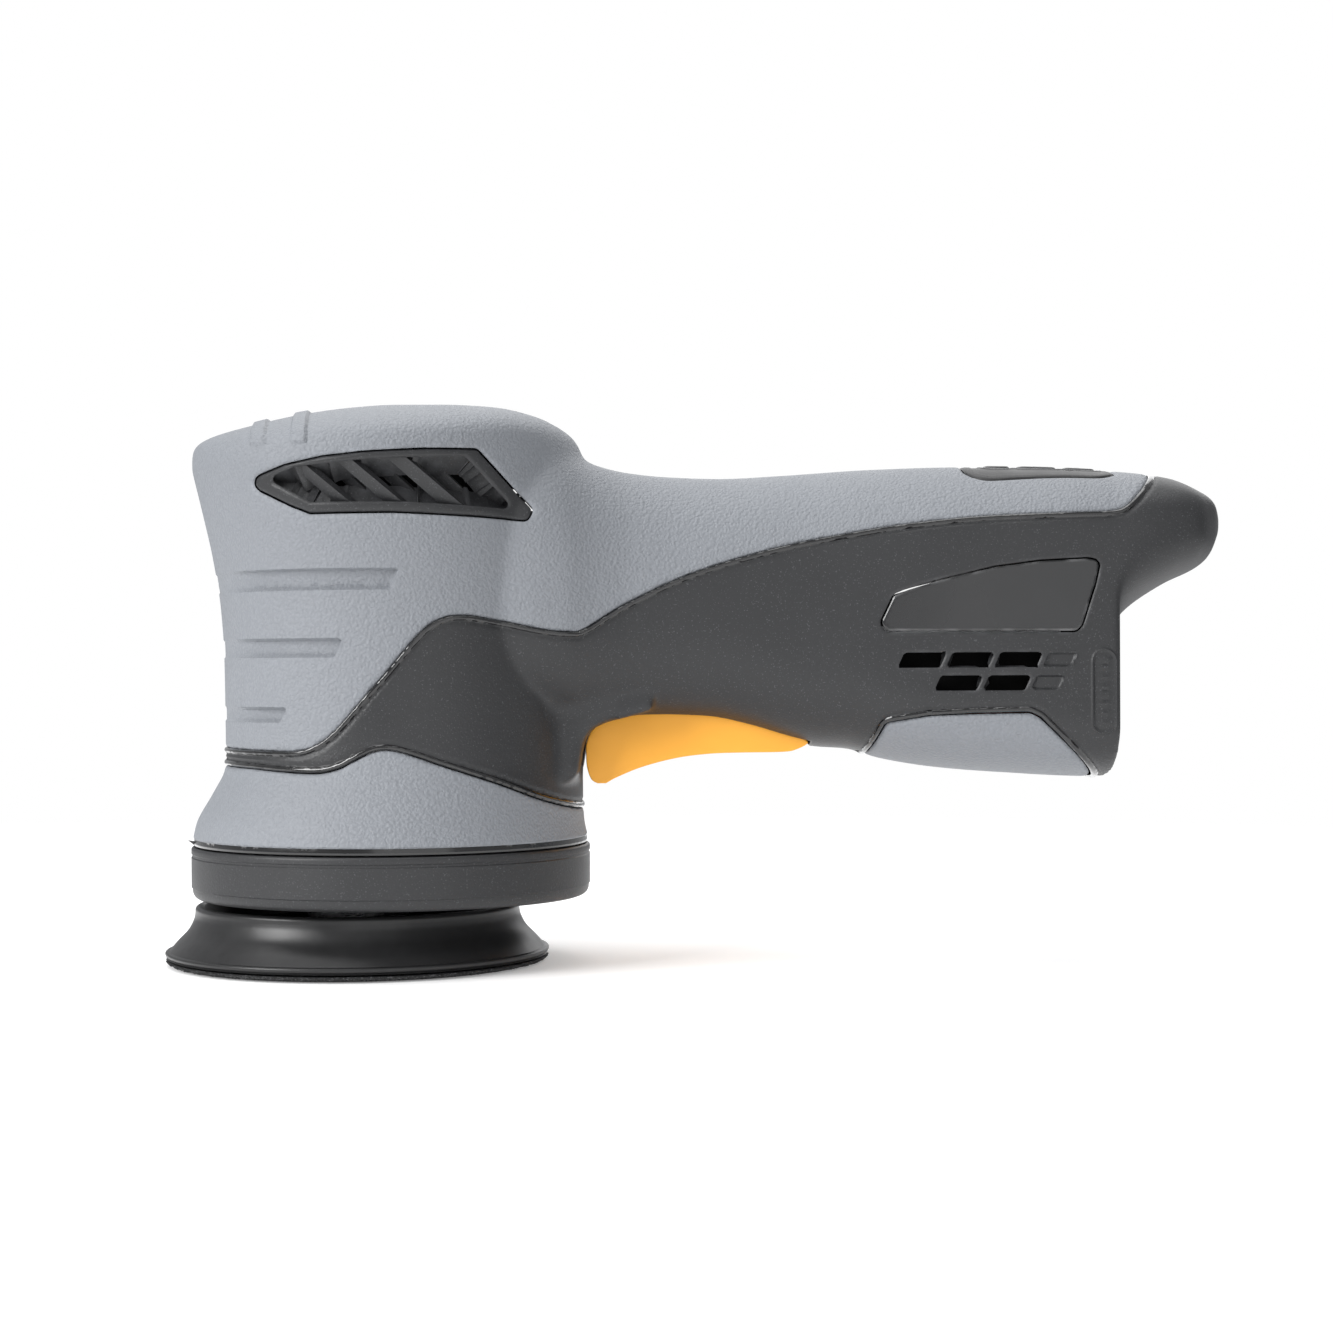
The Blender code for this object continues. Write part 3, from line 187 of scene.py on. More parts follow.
head_front = fair([
    (SEAM_Z, SHROUD_CENTRE_X - SHROUD_RADIUS + 0.1),
    (SEAM_Z + 4.2, SHROUD_CENTRE_X - SHROUD_RADIUS + 1.0),
    (WAIST_Z - 5.5, WAIST_FRONT_X - 2.5), (WAIST_Z, WAIST_FRONT_X),
    (WAIST_Z + 20.5, WAIST_FRONT_X - 0.2), (RIM_Z - 27.5, WAIST_FRONT_X - 0.8),
    (RIM_Z - 17.5, HEAD_FRONT_X + 4.0), (RIM_Z - 7.5, HEAD_FRONT_X + 1.8),
    (RIM_Z, HEAD_FRONT_X)])
head_back = fair([
    (SEAM_Z, SHROUD_CENTRE_X + SHROUD_RADIUS - 0.1),
    (SEAM_Z + 4.2, SHROUD_CENTRE_X + SHROUD_RADIUS - 1.1),
    (SEAM_Z + 8.2, HEAD_BACK_X), (RIM_Z, HEAD_BACK_X)])
head_half = fair([
    (SEAM_Z, SHROUD_RADIUS - 0.1), (SEAM_Z + 4.2, SHROUD_RADIUS - 1.0),
    (WAIST_Z - 5.5, WAIST_HALF_WIDTH + 2.4), (WAIST_Z, WAIST_HALF_WIDTH + 0.4),
    (WAIST_Z + 8.5, WAIST_HALF_WIDTH), (RIM_Z - 27.5, WAIST_HALF_WIDTH + 0.6),
    (RIM_Z - 17.5, HEAD_HALF_WIDTH - 2.6), (RIM_Z - 7.5, HEAD_HALF_WIDTH - 1.0),
    (RIM_Z, HEAD_HALF_WIDTH)])
head_crown = fair([
    (HEAD_FRONT_X - 3, HEAD_TOP_Z - 6.8), (HEAD_FRONT_X + 5, HEAD_TOP_Z - 5.3),
    (HEAD_FRONT_X + 13, HEAD_TOP_Z - 3.8), (HEAD_FRONT_X + 23, HEAD_TOP_Z - 1.8),
    (HEAD_FRONT_X + 33, HEAD_TOP_Z - 0.5), (HEAD_FRONT_X + 41, HEAD_TOP_Z),
    (HEAD_BACK_X - 27, HEAD_TOP_Z), (HEAD_BACK_X - 17, HEAD_TOP_Z - 0.4),
    (HEAD_BACK_X - 9, HEAD_TOP_Z - 1.8), (HEAD_BACK_X + 1, HEAD_TOP_Z - 5.4)])

handle_top = fair([
    (HEAD_BACK_X - 35, RIM_Z + 0.5), (HEAD_BACK_X - 11, HEAD_TOP_Z - 6.4),
    (HEAD_BACK_X - 5.5, HEAD_TOP_Z - 6.8), (HEAD_BACK_X - 2.5, HEAD_TOP_Z - 8.7),
    (HEAD_BACK_X + 0.5, HANDLE_TOP_Z + 1.8), (HEAD_BACK_X + 3.5, HANDLE_TOP_Z + 0.6),
    (HEAD_BACK_X + 9.5, HANDLE_TOP_Z - 0.8), (HEAD_BACK_X + 17, HANDLE_TOP_Z - 1.6),
    (HEAD_BACK_X + 28, HANDLE_TOP_Z - 2.0), (HEAD_BACK_X + 39, HANDLE_TOP_Z - 1.5),
    (REAR_X - 49, HANDLE_TOP_Z - 0.4), (REAR_X - 33, HANDLE_TOP_Z),
    (REAR_X - 19, HANDLE_TOP_Z - 0.2), (REAR_X - 1, HANDLE_TOP_Z - 1.1),
    (REAR_X + 9, HANDLE_TOP_Z - 2.4), (REAR_X + 14, HANDLE_TOP_Z - 4.4),
    (TAIL_END_X - 1.0, HANDLE_TOP_Z - 6.4), (TAIL_END_X, HANDLE_TOP_Z - 9.0)])
handle_low = fair([
    (HEAD_BACK_X - 35, NECK_LOW_Z + 1.2), (HEAD_BACK_X + 1, NECK_LOW_Z - 0.2),
    (HEAD_BACK_X + 15, NECK_LOW_Z), (HEAD_BACK_X + 25, NECK_LOW_Z - 0.4),
    (HEAD_BACK_X + 33, NECK_LOW_Z - 2.0), (HEAD_BACK_X + 41, NECK_LOW_Z - 4.3),
    (REAR_X - 60, NECK_LOW_Z - 5.4), (REAR_X - 54, HANDLE_LOW_Z + 5.7),
    (REAR_X - 47, HANDLE_LOW_Z + 3.7), (REAR_X - 36, HANDLE_LOW_Z + 1.9),
    (REAR_X - 24, HANDLE_LOW_Z + 0.9), (REAR_X - 6, HANDLE_LOW_Z),
    (HANDLE_END_X, HANDLE_LOW_Z)])
tail_low = fair([
    (HANDLE_END_X, TAIL_LOW_Z), (HANDLE_END_X + 1.2, TAIL_LOW_Z + 2.4),
    (HANDLE_END_X + 4.3, TAIL_LOW_Z + 5.6), (HANDLE_END_X + 11.3, TAIL_LOW_Z + 10.2),
    (TAIL_END_X - 2, TAIL_LOW_Z + 14.4), (TAIL_END_X, TAIL_LOW_Z + 18.5)])
handle_half = fair([
    (HEAD_BACK_X - 35, NECK_HALF_WIDTH + 6), (HEAD_BACK_X - 11, NECK_HALF_WIDTH + 7.4),
    (HEAD_BACK_X - 3, NECK_HALF_WIDTH + 6), (HEAD_BACK_X + 3, NECK_HALF_WIDTH + 3.2),
    (HEAD_BACK_X + 11, NECK_HALF_WIDTH + 0.8), (HEAD_BACK_X + 21, NECK_HALF_WIDTH),
    (HEAD_BACK_X + 39, NECK_HALF_WIDTH + 0.2), (REAR_X - 51, REAR_HALF_WIDTH - 3.2),
    (REAR_X - 31, REAR_HALF_WIDTH - 1), (REAR_X - 11, REAR_HALF_WIDTH),
    (HANDLE_END_X, REAR_HALF_WIDTH), (TAIL_END_X - 6, REAR_HALF_WIDTH - 2.5),
    (TAIL_END_X - 1.5, REAR_HALF_WIDTH - 8), (TAIL_END_X, REAR_HALF_WIDTH - 12)])
round_top = fair([
    (HEAD_BACK_X, 25), (HEAD_BACK_X + 25, 24), (REAR_X - 31, 22),
    (REAR_X - 4, 16), (HANDLE_END_X, 16), (TAIL_END_X - 6, 11), (TAIL_END_X, 3)])
round_low = fair([
    (HEAD_BACK_X, 24), (HEAD_BACK_X + 30, 22), (REAR_X - 45, 18),
    (HANDLE_END_X, 13)])


def bent_grid(columns, rows, rule):
    """A closed solid: a grid wrapped round by a rule of its column and row numbers."""
    bm = bmesh.new()
    bmesh.ops.create_grid(bm, x_segments=columns, y_segments=rows, size=1.0)
    for vert in bm.verts:
        column = round((vert.co.x + 1) / 2 * columns)
        row = round((vert.co.y + 1) / 2 * rows)
        vert.co = rule(column, row)
    bmesh.ops.remove_doubles(bm, verts=bm.verts, dist=0.0001)
    bmesh.ops.holes_fill(bm, edges=[e for e in bm.edges if e.is_boundary], sides=0)
    bmesh.ops.recalc_face_normals(bm, faces=bm.faces)
    return bm


HEAD_LOW_Z = SEAM_Z - 6.0
HEAD_COLUMNS, HEAD_ROWS, DOME_ROWS = 120, 70, 44


def head_point(column, row):
    """A point of the head: level rings up to the rim, and a dome above it."""
    z = HEAD_LOW_Z + (RIM_Z - HEAD_LOW_Z) * min(row, HEAD_ROWS) / HEAD_ROWS
    angle = 2 * math.pi * column / HEAD_COLUMNS
    front, back, half = head_front(z), head_back(z), head_half(z)
    middle, reach = (front + back) / 2, (back - front) / 2
    x, y = middle - reach * math.cos(angle), -half * math.sin(angle)
    if row <= HEAD_ROWS:
        return x, y, z
    lift = (row - HEAD_ROWS) / DOME_ROWS
    turn = min(lift / 0.7, 1.0) * 0.47 * math.pi
    shrink = math.cos(turn) ** (2 / DOME_POWER)
    if lift > 0.7:
        shrink *= (1 - lift) / 0.3
    rise = (1 - shrink ** DOME_POWER) ** (1 / DOME_POWER)
    px, py = middle + (x - middle) * shrink, y * shrink
    top = head_crown(px) - CROWN_DROP * (py / HEAD_HALF_WIDTH) ** 2
    return px, py, z + (top - z) * rise


SECTION_STEPS = 20
HANDLE_START_X = HEAD_BACK_X - 30


def handle_stations():
    """Where the handle's sections stand, as (x, lowest z)."""
    places = np.linspace(HANDLE_START_X, HANDLE_END_X, 150)
    stations = [(x, handle_low(x)) for x in places]
    tail = HANDLE_END_X + (TAIL_END_X - HANDLE_END_X) * np.sin(np.linspace(0, math.pi / 2, 40))
    stations += [(x + 0.05, tail_low(x)) for x in tail[:-1]]
    return stations + [(TAIL_END_X, tail_low(TAIL_END_X))]


def handle_section(x, low):
    """One upright section of the handle, as a closed row of points."""
    top, half = handle_top(x), handle_half(x)
    high_round = min(round_top(x), (top - low) * 0.5)
    low_round = min(round_low(x), (top - low) * 0.49)
    side = []
    for step in range(SECTION_STEPS + 1):
        angle = step / SECTION_STEPS * math.pi / 2
        out = math.sin(angle) ** (2 / SECTION_POWER)
        down = math.cos(angle) ** (2 / SECTION_POWER)
        side.append((half * out, low + low_round * (1 - down)))
    for step in range(SECTION_STEPS + 1):
        angle = step / SECTION_STEPS * math.pi / 2
        out = math.cos(angle) ** (2 / SECTION_POWER)
        up = math.sin(angle) ** (2 / SECTION_POWER)
        side.append((half * out, top - high_round * (1 - up)))
    near = [(x, -y, z) for y, z in side]
    return near + [(x, y, z) for y, z in reversed(side[1:-1])] + [near[0]]


def handle_bm():
    sections = [handle_section(x, low) for x, low in handle_stations()]
    return bent_grid(len(sections[0]) - 1, len(sections) - 1,
                     lambda column, row: sections[row][column])


# ---------------------------------------------------------------- mesh tools

def evaluated(obj):
    bpy.context.view_layer.update()
    graph = bpy.context.evaluated_depsgraph_get()
    return bpy.data.meshes.new_from_object(obj.evaluated_get(graph))


def finished(name, bm, finishes, body, nodes=(), angle=40.0):
    """Turn a bmesh in millimetres into a piece that rides on a body and stands for CAD nodes."""
    bmesh.ops.scale(bm, vec=(MM, MM, MM), verts=bm.verts)
    mesh = bpy.data.meshes.new(name)
    bm.to_mesh(mesh)
    bm.free()
    for finish in finishes:
        mesh.materials.append(finish)
    mesh.shade_smooth()
    mesh.set_sharp_from_angle(angle=math.radians(angle))
    obj = bpy.data.objects.new(name, mesh)
    bpy.context.scene.collection.objects.link(obj)
    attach(obj, body)
    if nodes:
        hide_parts(*nodes)
    return obj


def mirror_bm(bm):
    """The same shape for the tool's other side."""
    bmesh.ops.scale(bm, vec=(1, -1, 1), verts=bm.verts)
    bmesh.ops.reverse_faces(bm, faces=bm.faces)
    return bm


def modified(bm, kind, **settings):
    """A bmesh after one modifier."""
    mesh = bpy.data.meshes.new("work")
    bm.to_mesh(mesh)
    bm.free()
    obj = bpy.data.objects.new("work", mesh)
    bpy.context.scene.collection.objects.link(obj)
    modifier = obj.modifiers.new("work", kind)
    for key, value in settings.items():
        setattr(modifier, key, value)
    made = evaluated(obj)
    result = bmesh.new()
    result.from_mesh(made)
    bpy.data.objects.remove(obj)
    bpy.data.meshes.remove(mesh)
    bpy.data.meshes.remove(made)
    return result


def prism_bm(outline, low, high):
    """A flat outline, as (x, z), pushed across the tool."""
    bm = bmesh.new()
    face = bm.faces.new([bm.verts.new((x, low, z)) for x, z in outline])
    made = bmesh.ops.extrude_face_region(bm, geom=[face])["geom"]
    bmesh.ops.translate(bm, vec=(0, high - low, 0),
                        verts=[item for item in made if isinstance(item, bmesh.types.BMVert)])
    bmesh.ops.recalc_face_normals(bm, faces=bm.faces)
    return bm


# The rounded corner between the head and the handle, which the trigger nests in
TRIGGER_WEB = [(HEAD_BACK_X + along, WAIST_Z + rise) for along, rise in (
    (-3, -3), (-0.4, -3), (0.2, 1.3), (0.7, 4.7), (2.1, 6.9), (4.6, 8.1), (8.7, 9.1),
    (14, 10.5), (14, 16), (-3, 16))]
WEB_HALF = 16.5
SMOOTH_ROUNDS, SMOOTH_ROUNDS_QUICK, CREASE_TIMES = 7, 3, 4
CREASE_HALF = 7
BASE = {}


def add_mesh(bm, part):
    """Add one bmesh to another, and free it."""
    mesh = bpy.data.meshes.new("added")
    part.to_mesh(mesh)
    part.free()
    bm.from_mesh(mesh)
    bpy.data.meshes.remove(mesh)


def cut_plane(bm, place, normal):
    """Cut away what lies on the normal's side of a plane."""
    bmesh.ops.bisect_plane(bm, geom=bm.verts[:] + bm.edges[:] + bm.faces[:], dist=0.0001,
                           plane_co=place, plane_no=normal, clear_outer=True)


def smoothed(bm, verts, rounds):
    for _ in range(rounds):
        bmesh.ops.smooth_vert(bm, verts=verts, factor=0.5, use_axis_x=True, use_axis_y=True,
                              use_axis_z=True)


def base_half():
    """The blended outer form's near half, open along the middle plane and the pad's seam."""
    if "mesh" not in BASE:
        step = sizes().mesh_step / MM * 1
        bm = bent_grid(HEAD_COLUMNS, HEAD_ROWS + DOME_ROWS, head_point)
        add_mesh(bm, handle_bm())
        add_mesh(bm, prism_bm(TRIGGER_WEB, -WEB_HALF, WEB_HALF))
        bm = modified(bm, "REMESH", mode="VOXEL", voxel_size=step, use_smooth_shade=True)
        cut_plane(bm, (0, 3, 0), (0, 1, 0))
        rounds = SMOOTH_ROUNDS
        smoothed(bm, bm.verts, rounds)
        crease = [v for v in bm.verts
                  if abs(v.co.x - HEAD_BACK_X - 0.5) < CREASE_HALF and v.co.z > SEAM_Z + 12]
        smoothed(bm, crease, CREASE_TIMES * rounds)
        cut_plane(bm, (0, -GAP / 4, 0), (0, 1, 0))
        cut_plane(bm, (0, 0, SEAM_Z + 0.1), (0, 0, -1))
        mesh = bpy.data.meshes.new("base_half")
        bm.to_mesh(mesh)
        BASE["mesh"] = mesh
        BASE["tree"] = BVHTree.FromBMesh(bm)
        bm.free()
    bm = bmesh.new()
    bm.from_mesh(BASE["mesh"])
    held = bm.verts.layers.int.new("held")
    bm.verts.layers.float.new("edge_near")
    for vert in bm.verts:
        vert[held] = int(vert.is_boundary)
    return bm


def side_point(x, z, inset=0.0):
    """The point of the near side at a place, drawn in by an inset, and its normal."""
    base_half().free()
    place, normal, _, _ = BASE["tree"].ray_cast(Vector((x, -FAR, z)), Vector((0, 1, 0)))
    if place is None:
        raise RuntimeError(f"the side has no surface at x {x:.1f}, z {z:.1f}")
    return place - normal * inset, normal


# A rule gives each point of an array a distance from a line or outline: less than zero inside.

def outline_rule(outline, axes=(0, 2), corner=0.0):
    """Distance from a closed outline, seen along one axis, with its corners rounded."""
    points = np.array(grown(outline, -corner) if corner else outline, float)
    after = np.roll(points, -1, axis=0)

    def rule(places):
        flat = places[:, axes]
        nearest = np.full(len(flat), np.inf)
        inside = np.zeros(len(flat), bool)
        for a, b in zip(points, after):
            along = b - a
            t = np.clip(((flat - a) @ along) / (along @ along), 0, 1)
            nearest = np.minimum(nearest, np.linalg.norm(flat - a - t[:, None] * along, axis=1))
            passes = (a[1] > flat[:, 1]) != (b[1] > flat[:, 1])
            with np.errstate(divide="ignore", invalid="ignore"):
                cross = a[0] + (flat[:, 1] - a[1]) * (b[0] - a[0]) / (b[1] - a[1])
            inside ^= passes & (flat[:, 0] < cross)
        return np.where(inside, -nearest, nearest) - corner
    return rule


def grown(outline, amount):
    """The outline with every side moved outwards by an amount."""
    area = sum(a[0] * b[1] - b[0] * a[1] for a, b in zip(outline, outline[1:] + outline[:1]))
    sign = 1.0 if area > 0 else -1.0
    result = []
    for i, point in enumerate(outline):
        before = Vector(outline[i - 1])
        after = Vector(outline[(i + 1) % len(outline)])
        here = Vector(point)
        first = (here - before).normalized()
        second = (after - here).normalized()
        normal_1 = Vector((first.y, -first.x)) * sign
        normal_2 = Vector((second.y, -second.x)) * sign
        middle = (normal_1 + normal_2).normalized()
        result.append(tuple(here + middle * (amount / max(0.5, middle.dot(normal_1)))))
    return result


def smooth_line(points, steps=6):
    """A curve through the points, with a few steps between each two."""
    ends = [points[0]] + list(points) + [points[-1]]
    line = []
    for a, b, c, d in zip(ends, ends[1:], ends[2:], ends[3:]):
        for step in range(steps):
            t = step / steps
            line.append(tuple(
                0.5 * (2 * b[k] + (c[k] - a[k]) * t
                       + (2 * a[k] - 5 * b[k] + 4 * c[k] - d[k]) * t ** 2
                       + (3 * b[k] - a[k] - 3 * c[k] + d[k]) * t ** 3)
                for k in range(len(b))))
    return line + [tuple(points[-1])]


def turned_over(rule):
    return lambda places: -rule(places)


def moved(rule, amount):
    """The same rule for an outline grown by an amount."""
    return lambda places: rule(places) - amount


def places_of(bm):
    """The places of a bmesh's points, in the order of their numbers."""
    bm.verts.index_update()
    return np.array([vert.co[:] for vert in bm.verts]).reshape(-1, 3)


def values_of(bm, rule):
    return rule(places_of(bm))


SNAP = 0.16                # a point this near a new line, as a share of its edge, moves to it


def score(bm, rule, levels=(0.0,)):
    """Lay edges along the lines where a rule passes each level."""
    for level in levels:
        value = values_of(bm, rule) - level
        held = bm.verts.layers.int["held"]
        crossing = [e for e in bm.edges
                    if value[e.verts[0].index] * value[e.verts[1].index] < 0]
        on_line = {}
        for edge in crossing:
            a, b = edge.verts
            t = value[a.index] / (value[a.index] - value[b.index])
            if t < SNAP and not a[held]:
                on_line.setdefault(a, a.co.lerp(b.co, t))
            elif t > 1 - SNAP and not b[held]:
                on_line.setdefault(b, a.co.lerp(b.co, t))
        for vert, place in on_line.items():
            vert.co = place
            value[vert.index] = 0.0
        new = list(on_line)
        for edge in crossing:
            a, b = edge.verts
            if value[a.index] * value[b.index] < 0:
                t = value[a.index] / (value[a.index] - value[b.index])
                new.append((edge, a, t))
        made = [item for item in new if not isinstance(item, tuple)]
        for item in new:
            if isinstance(item, tuple):
                made.append(bmesh.utils.edge_split(*item)[1])
        for vert in made:
            vert[held] = 1
        bmesh.ops.connect_verts(bm, verts=made)


def drop(bm, rule):
    """Delete the faces whose middles a rule puts inside."""
    faces = list(bm.faces)
    if faces:
        middles = np.array([face.calc_center_median()[:] for face in faces])
        inside = rule(middles) < 0
        bmesh.ops.delete(bm, geom=[f for f, gone in zip(faces, inside) if gone], context="FACES")


def carve(bm, rule, more_levels=()):
    """Cut away what a rule puts inside, and lay more lines beside the cut."""
    score(bm, rule)
    drop(bm, rule)
    score(bm, rule, more_levels)


def paint(bm, rule, index):
    """Give the faces that a rule puts inside another finish."""
    faces = list(bm.faces)
    inside = rule(np.array([face.calc_center_median()[:] for face in faces])) < 0
    for face, chosen in zip(faces, inside):
        if chosen:
            face.material_index = index


def ramp(value, low, high):
    """0 below low and 1 above high, with soft ends."""
    t = np.clip((value - low) / (high - low), 0, 1)
    return t * t * (3 - 2 * t)


def edge_drop(value, radius, depth):
    """How far a rounded edge falls at a distance from it."""
    t = np.clip(1 - value / radius, 0, 1)
    return depth * (1 - np.sqrt(np.clip(1 - t * t, 0, 1)))


def press(bm, *reliefs):
    """Move the surface along its normals by the sum of some reliefs."""
    bm.normal_update()
    places = places_of(bm)
    push = sum(relief(places) for relief in reliefs)
    for vert, amount, normal in zip(bm.verts, push, [v.normal.copy() for v in bm.verts]):
        vert.co += normal * float(amount)


def turn_in(bm, depth):
    """Fold the open edges inwards, so that the piece has thickness where it ends."""
    bm.normal_update()
    rim = [edge for edge in bm.edges if edge.is_boundary]
    normals = {tuple(v.co): v.normal.copy() for edge in rim for v in edge.verts}
    made = bmesh.ops.extrude_edge_only(bm, edges=rim)["geom"]
    for item in made:
        if isinstance(item, bmesh.types.BMVert):
            item.co -= normals[tuple(item.co)] * depth


def record_edge(bm, rule, reach):
    """Keep how near the piece's edge each point is, for the lighter edges in its finish: wear and
    dust, and on the label plates a painted highlight.
    """
    layer = bm.verts.layers.float["edge_near"]
    for vert, value in zip(bm.verts, values_of(bm, rule)):
        vert[layer] = float(max(0.0, 1 - abs(value) / reach))


# ---------------------------------------------------------------- outlines on the side, as (x, z)

GRIP_LINE = smooth_line([(x, WAIST_Z + rise) for x, rise in (
    (HEAD_FRONT_X - 20, 3.5), (HEAD_FRONT_X, 3.5), (-17.3, 3.3), (-8.5, 3.3), (-4.1, 4.5),
    (0.2, 7.7), (5.7, 13.9), (9.1, 17.6), (15.8, 25.4), (19.8, 28.1), (24, 28.7),
    (29.8, 27.8), (38, 26.1), (43.1, 25.6), (46.3, 26.1), (53.9, 30.8), (66.3, 36.6),
    (83, 41.6), (99.7, 44.8), (112.1, 46.5), (124.6, 47.5), (142, 48), (147, 48.2),
    (150, 49.4), (155.1, 54.6), (162, 62))])
COLLAR_LINE = smooth_line([(x, WAIST_Z + rise) for x, rise in (
    (HEAD_FRONT_X - 20, 0.2), (HEAD_FRONT_X, 0.2), (-18.7, 0), (-11.6, -0.4), (-4, -0.6),
    (0.2, 0.2), (2.9, 1.5), (7, 3.4), (10.6, 3.6), (15.8, 2.1), (18.5, 1.1),
    (29.8, -2.8), (38.1, -6.4), (HEAD_BACK_X, -8.9), (HEAD_BACK_X + 15, -14))])
HEEL_OUTLINE = [
    (101.1, 30), (101.1, 41), (104, 47.2), (112, 48.6), (120.3, 49), (130.9, 49.2),
    (132.7, 48.3), (145.1, 36.2), (148, 30)]
BADGE_OUTLINE = [
    (103.9, 65.1), (102.8, 66.6), (105.3, 71.8), (108, 72.9), (113.4, 74.5), (124.4, 77.1),
    (133.1, 78.2), (141.9, 78.6), (144.3, 78.2), (143.3, 73.8), (140.8, 66), (139.8, 64.9)]
GRILLE_OUTLINE = [(x, RIM_Z + rise) for x, rise in (
    (-16.2, -4.0), (-14.6, -2.9), (-9.4, -1.2), (-2.0, 0.2), (6.1, 1.0), (16.8, 1.6),
    (26.7, 1.8), (36.6, -9.1), (35.6, -11.1), (27.4, -10.6), (11.4, -10.0), (-4.6, -10.1),
    (-8.4, -8.6), (-14.6, -5.6))]
GRILLE_OPENING = [(x, RIM_Z + rise) for x, rise in (
    (-12.8, -3.6), (-7.5, -1.6), (6, -0.3), (24.6, 0.5), (33.0, -8.9), (14, -8.2),
    (-4.4, -8.1))]
LOUVRE_TOP_Z, LOUVRE_LOW_Z = RIM_Z + 0.9, RIM_Z - 9.4
LOUVRES = [(-11.6, 3.6, 12.6), (-1.6, 3.6, 12.4), (9.0, 3.8, 12.2)]  # top x, width, reach back

PANEL_LOW_X, PANEL_HIGH_X = REAR_X - 31, REAR_X - 2
PANEL_HALF = 16.0
BUTTON_PLANS = [(PANEL_LOW_X + 4.6, PANEL_LOW_X + 9.6, 2.2),
                (PANEL_LOW_X + 11.2, PANEL_LOW_X + 18.6, 1.0),
                (PANEL_LOW_X + 20.2, PANEL_LOW_X + 26.2, 1.0)]
BUTTON_HALF = 8.0
SLOT_HEIGHT, SLOT_LEAN, SLOT_PITCH = 2.9, 1.3, 9.1
SLOT_ROWS = [(REAR_X - 45.3, 58.0, 3, 8.0), (REAR_X - 38.4, 53.6, 2, 8.0)]
BLIND_SLOTS = [(REAR_X - 18, 58.0, 5.6), (REAR_X - 20.3, 53.6, 5.6)]
SCREW_PLACES = [(39.3, 57.0), (92.0, 60.0), (141.2, 70.3), (157.6, 84.2)]
SCREW_HOLE = 3.0
GROOVES = [(WAIST_Z + 33.8, 3.7, 10.4), (WAIST_Z + 21.2, 3.3, -0.4),
           (WAIST_Z + 8.9, 2.6, -11.6)]    # lowest z, height, rear end
CHEVRONS = [(-19.6, 35), (-11.6, 37)]      # middle x, half width across the top
SHELL_WALL = 2.6
SHADE_WALL_THICKNESS = 0.6          # a near-black wall behind the slots and the louvres: painted shade for the dark inside of the tool
LOUVRE_THICKNESS, BACK_LOUVRE_THICKNESS = 1.3, 0.9


def closed_above(line):
    return line + [(line[-1][0] + FAR, line[-1][1]), (line[-1][0] + FAR, HEAD_TOP_Z + FAR),
                   (line[0][0], HEAD_TOP_Z + FAR)]


def closed_below(line):
    return line + [(line[-1][0], SEAM_Z - FAR), (line[0][0], SEAM_Z - FAR)]


def leaning(x, z, width):
    return [(x, z), (x + width, z), (x + width + SLOT_LEAN, z + SLOT_HEIGHT),
            (x + SLOT_LEAN, z + SLOT_HEIGHT)]


def rounded_plan(low_x, high_x, half, corner):
    points = []
    for cx, cy, start in ((high_x - corner, half - corner, 0),
                          (low_x + corner, half - corner, 90),
                          (low_x + corner, corner - half, 180),
                          (high_x - corner, corner - half, 270)):
        for step in range(7):
            angle = math.radians(start + 15 * step)
            points.append((cx + corner * math.cos(angle), cy + corner * math.sin(angle)))
    return points


ABOVE = outline_rule(closed_above(GRIP_LINE))
BELOW = outline_rule(closed_below(COLLAR_LINE))
HEEL = outline_rule(HEEL_OUTLINE, corner=1.4)
BADGE = outline_rule(BADGE_OUTLINE, corner=1.2)
GRILLE = outline_rule(GRILLE_OUTLINE, corner=1.2)
OPENING = outline_rule(GRILLE_OPENING, corner=0.8)
PANEL_TOP = outline_rule(rounded_plan(PANEL_LOW_X, PANEL_HIGH_X, PANEL_HALF, 5), (0, 1))
CAPSULE_MIDDLE_Z, CAPSULE_HALF, CAPSULE_CORNER, RIB_PITCH = 53.4, 8.0, 2.2, 1.7
CAPSULE = outline_rule(rounded_plan(142.7, 147.2, CAPSULE_HALF, CAPSULE_CORNER))


def on_top(rule):
    """A plan rule that only holds on the handle's top."""
    return lambda places: np.maximum(rule(places), HANDLE_TOP_Z - 9 - places[:, 2])


PANEL = on_top(PANEL_TOP)


def capsule(places):
    return CAPSULE(places - (0, 0, CAPSULE_MIDDLE_Z))


def dock_window(places):
    across = np.abs(places[:, 1]) + DOCK_LOW.y - GAP
    middle, half = (DOCK_LOW.z + DOCK_HIGH.z) / 2, (DOCK_HIGH.z - DOCK_LOW.z) / 2
    up = np.abs(places[:, 2] - middle) - half - GAP
    return np.maximum(np.maximum(across, up), HANDLE_END_X - 0.6 - places[:, 0])


def trigger_slot(places):
    across = np.abs(places[:, 1]) - TRIGGER_HIGH.y - 0.5
    along = np.maximum(HEAD_BACK_X + 0.7 - places[:, 0], places[:, 0] - TRIGGER_HIGH.x - 0.2)
    return np.maximum(np.maximum(across, along), places[:, 2] - NECK_LOW_Z - 6)


def nearest(*rules):
    """Distance inside a piece from the nearest of its edges."""
    return lambda places: np.min([rule(places) for rule in rules], axis=0)


# ---------------------------------------------------------------- soft grip

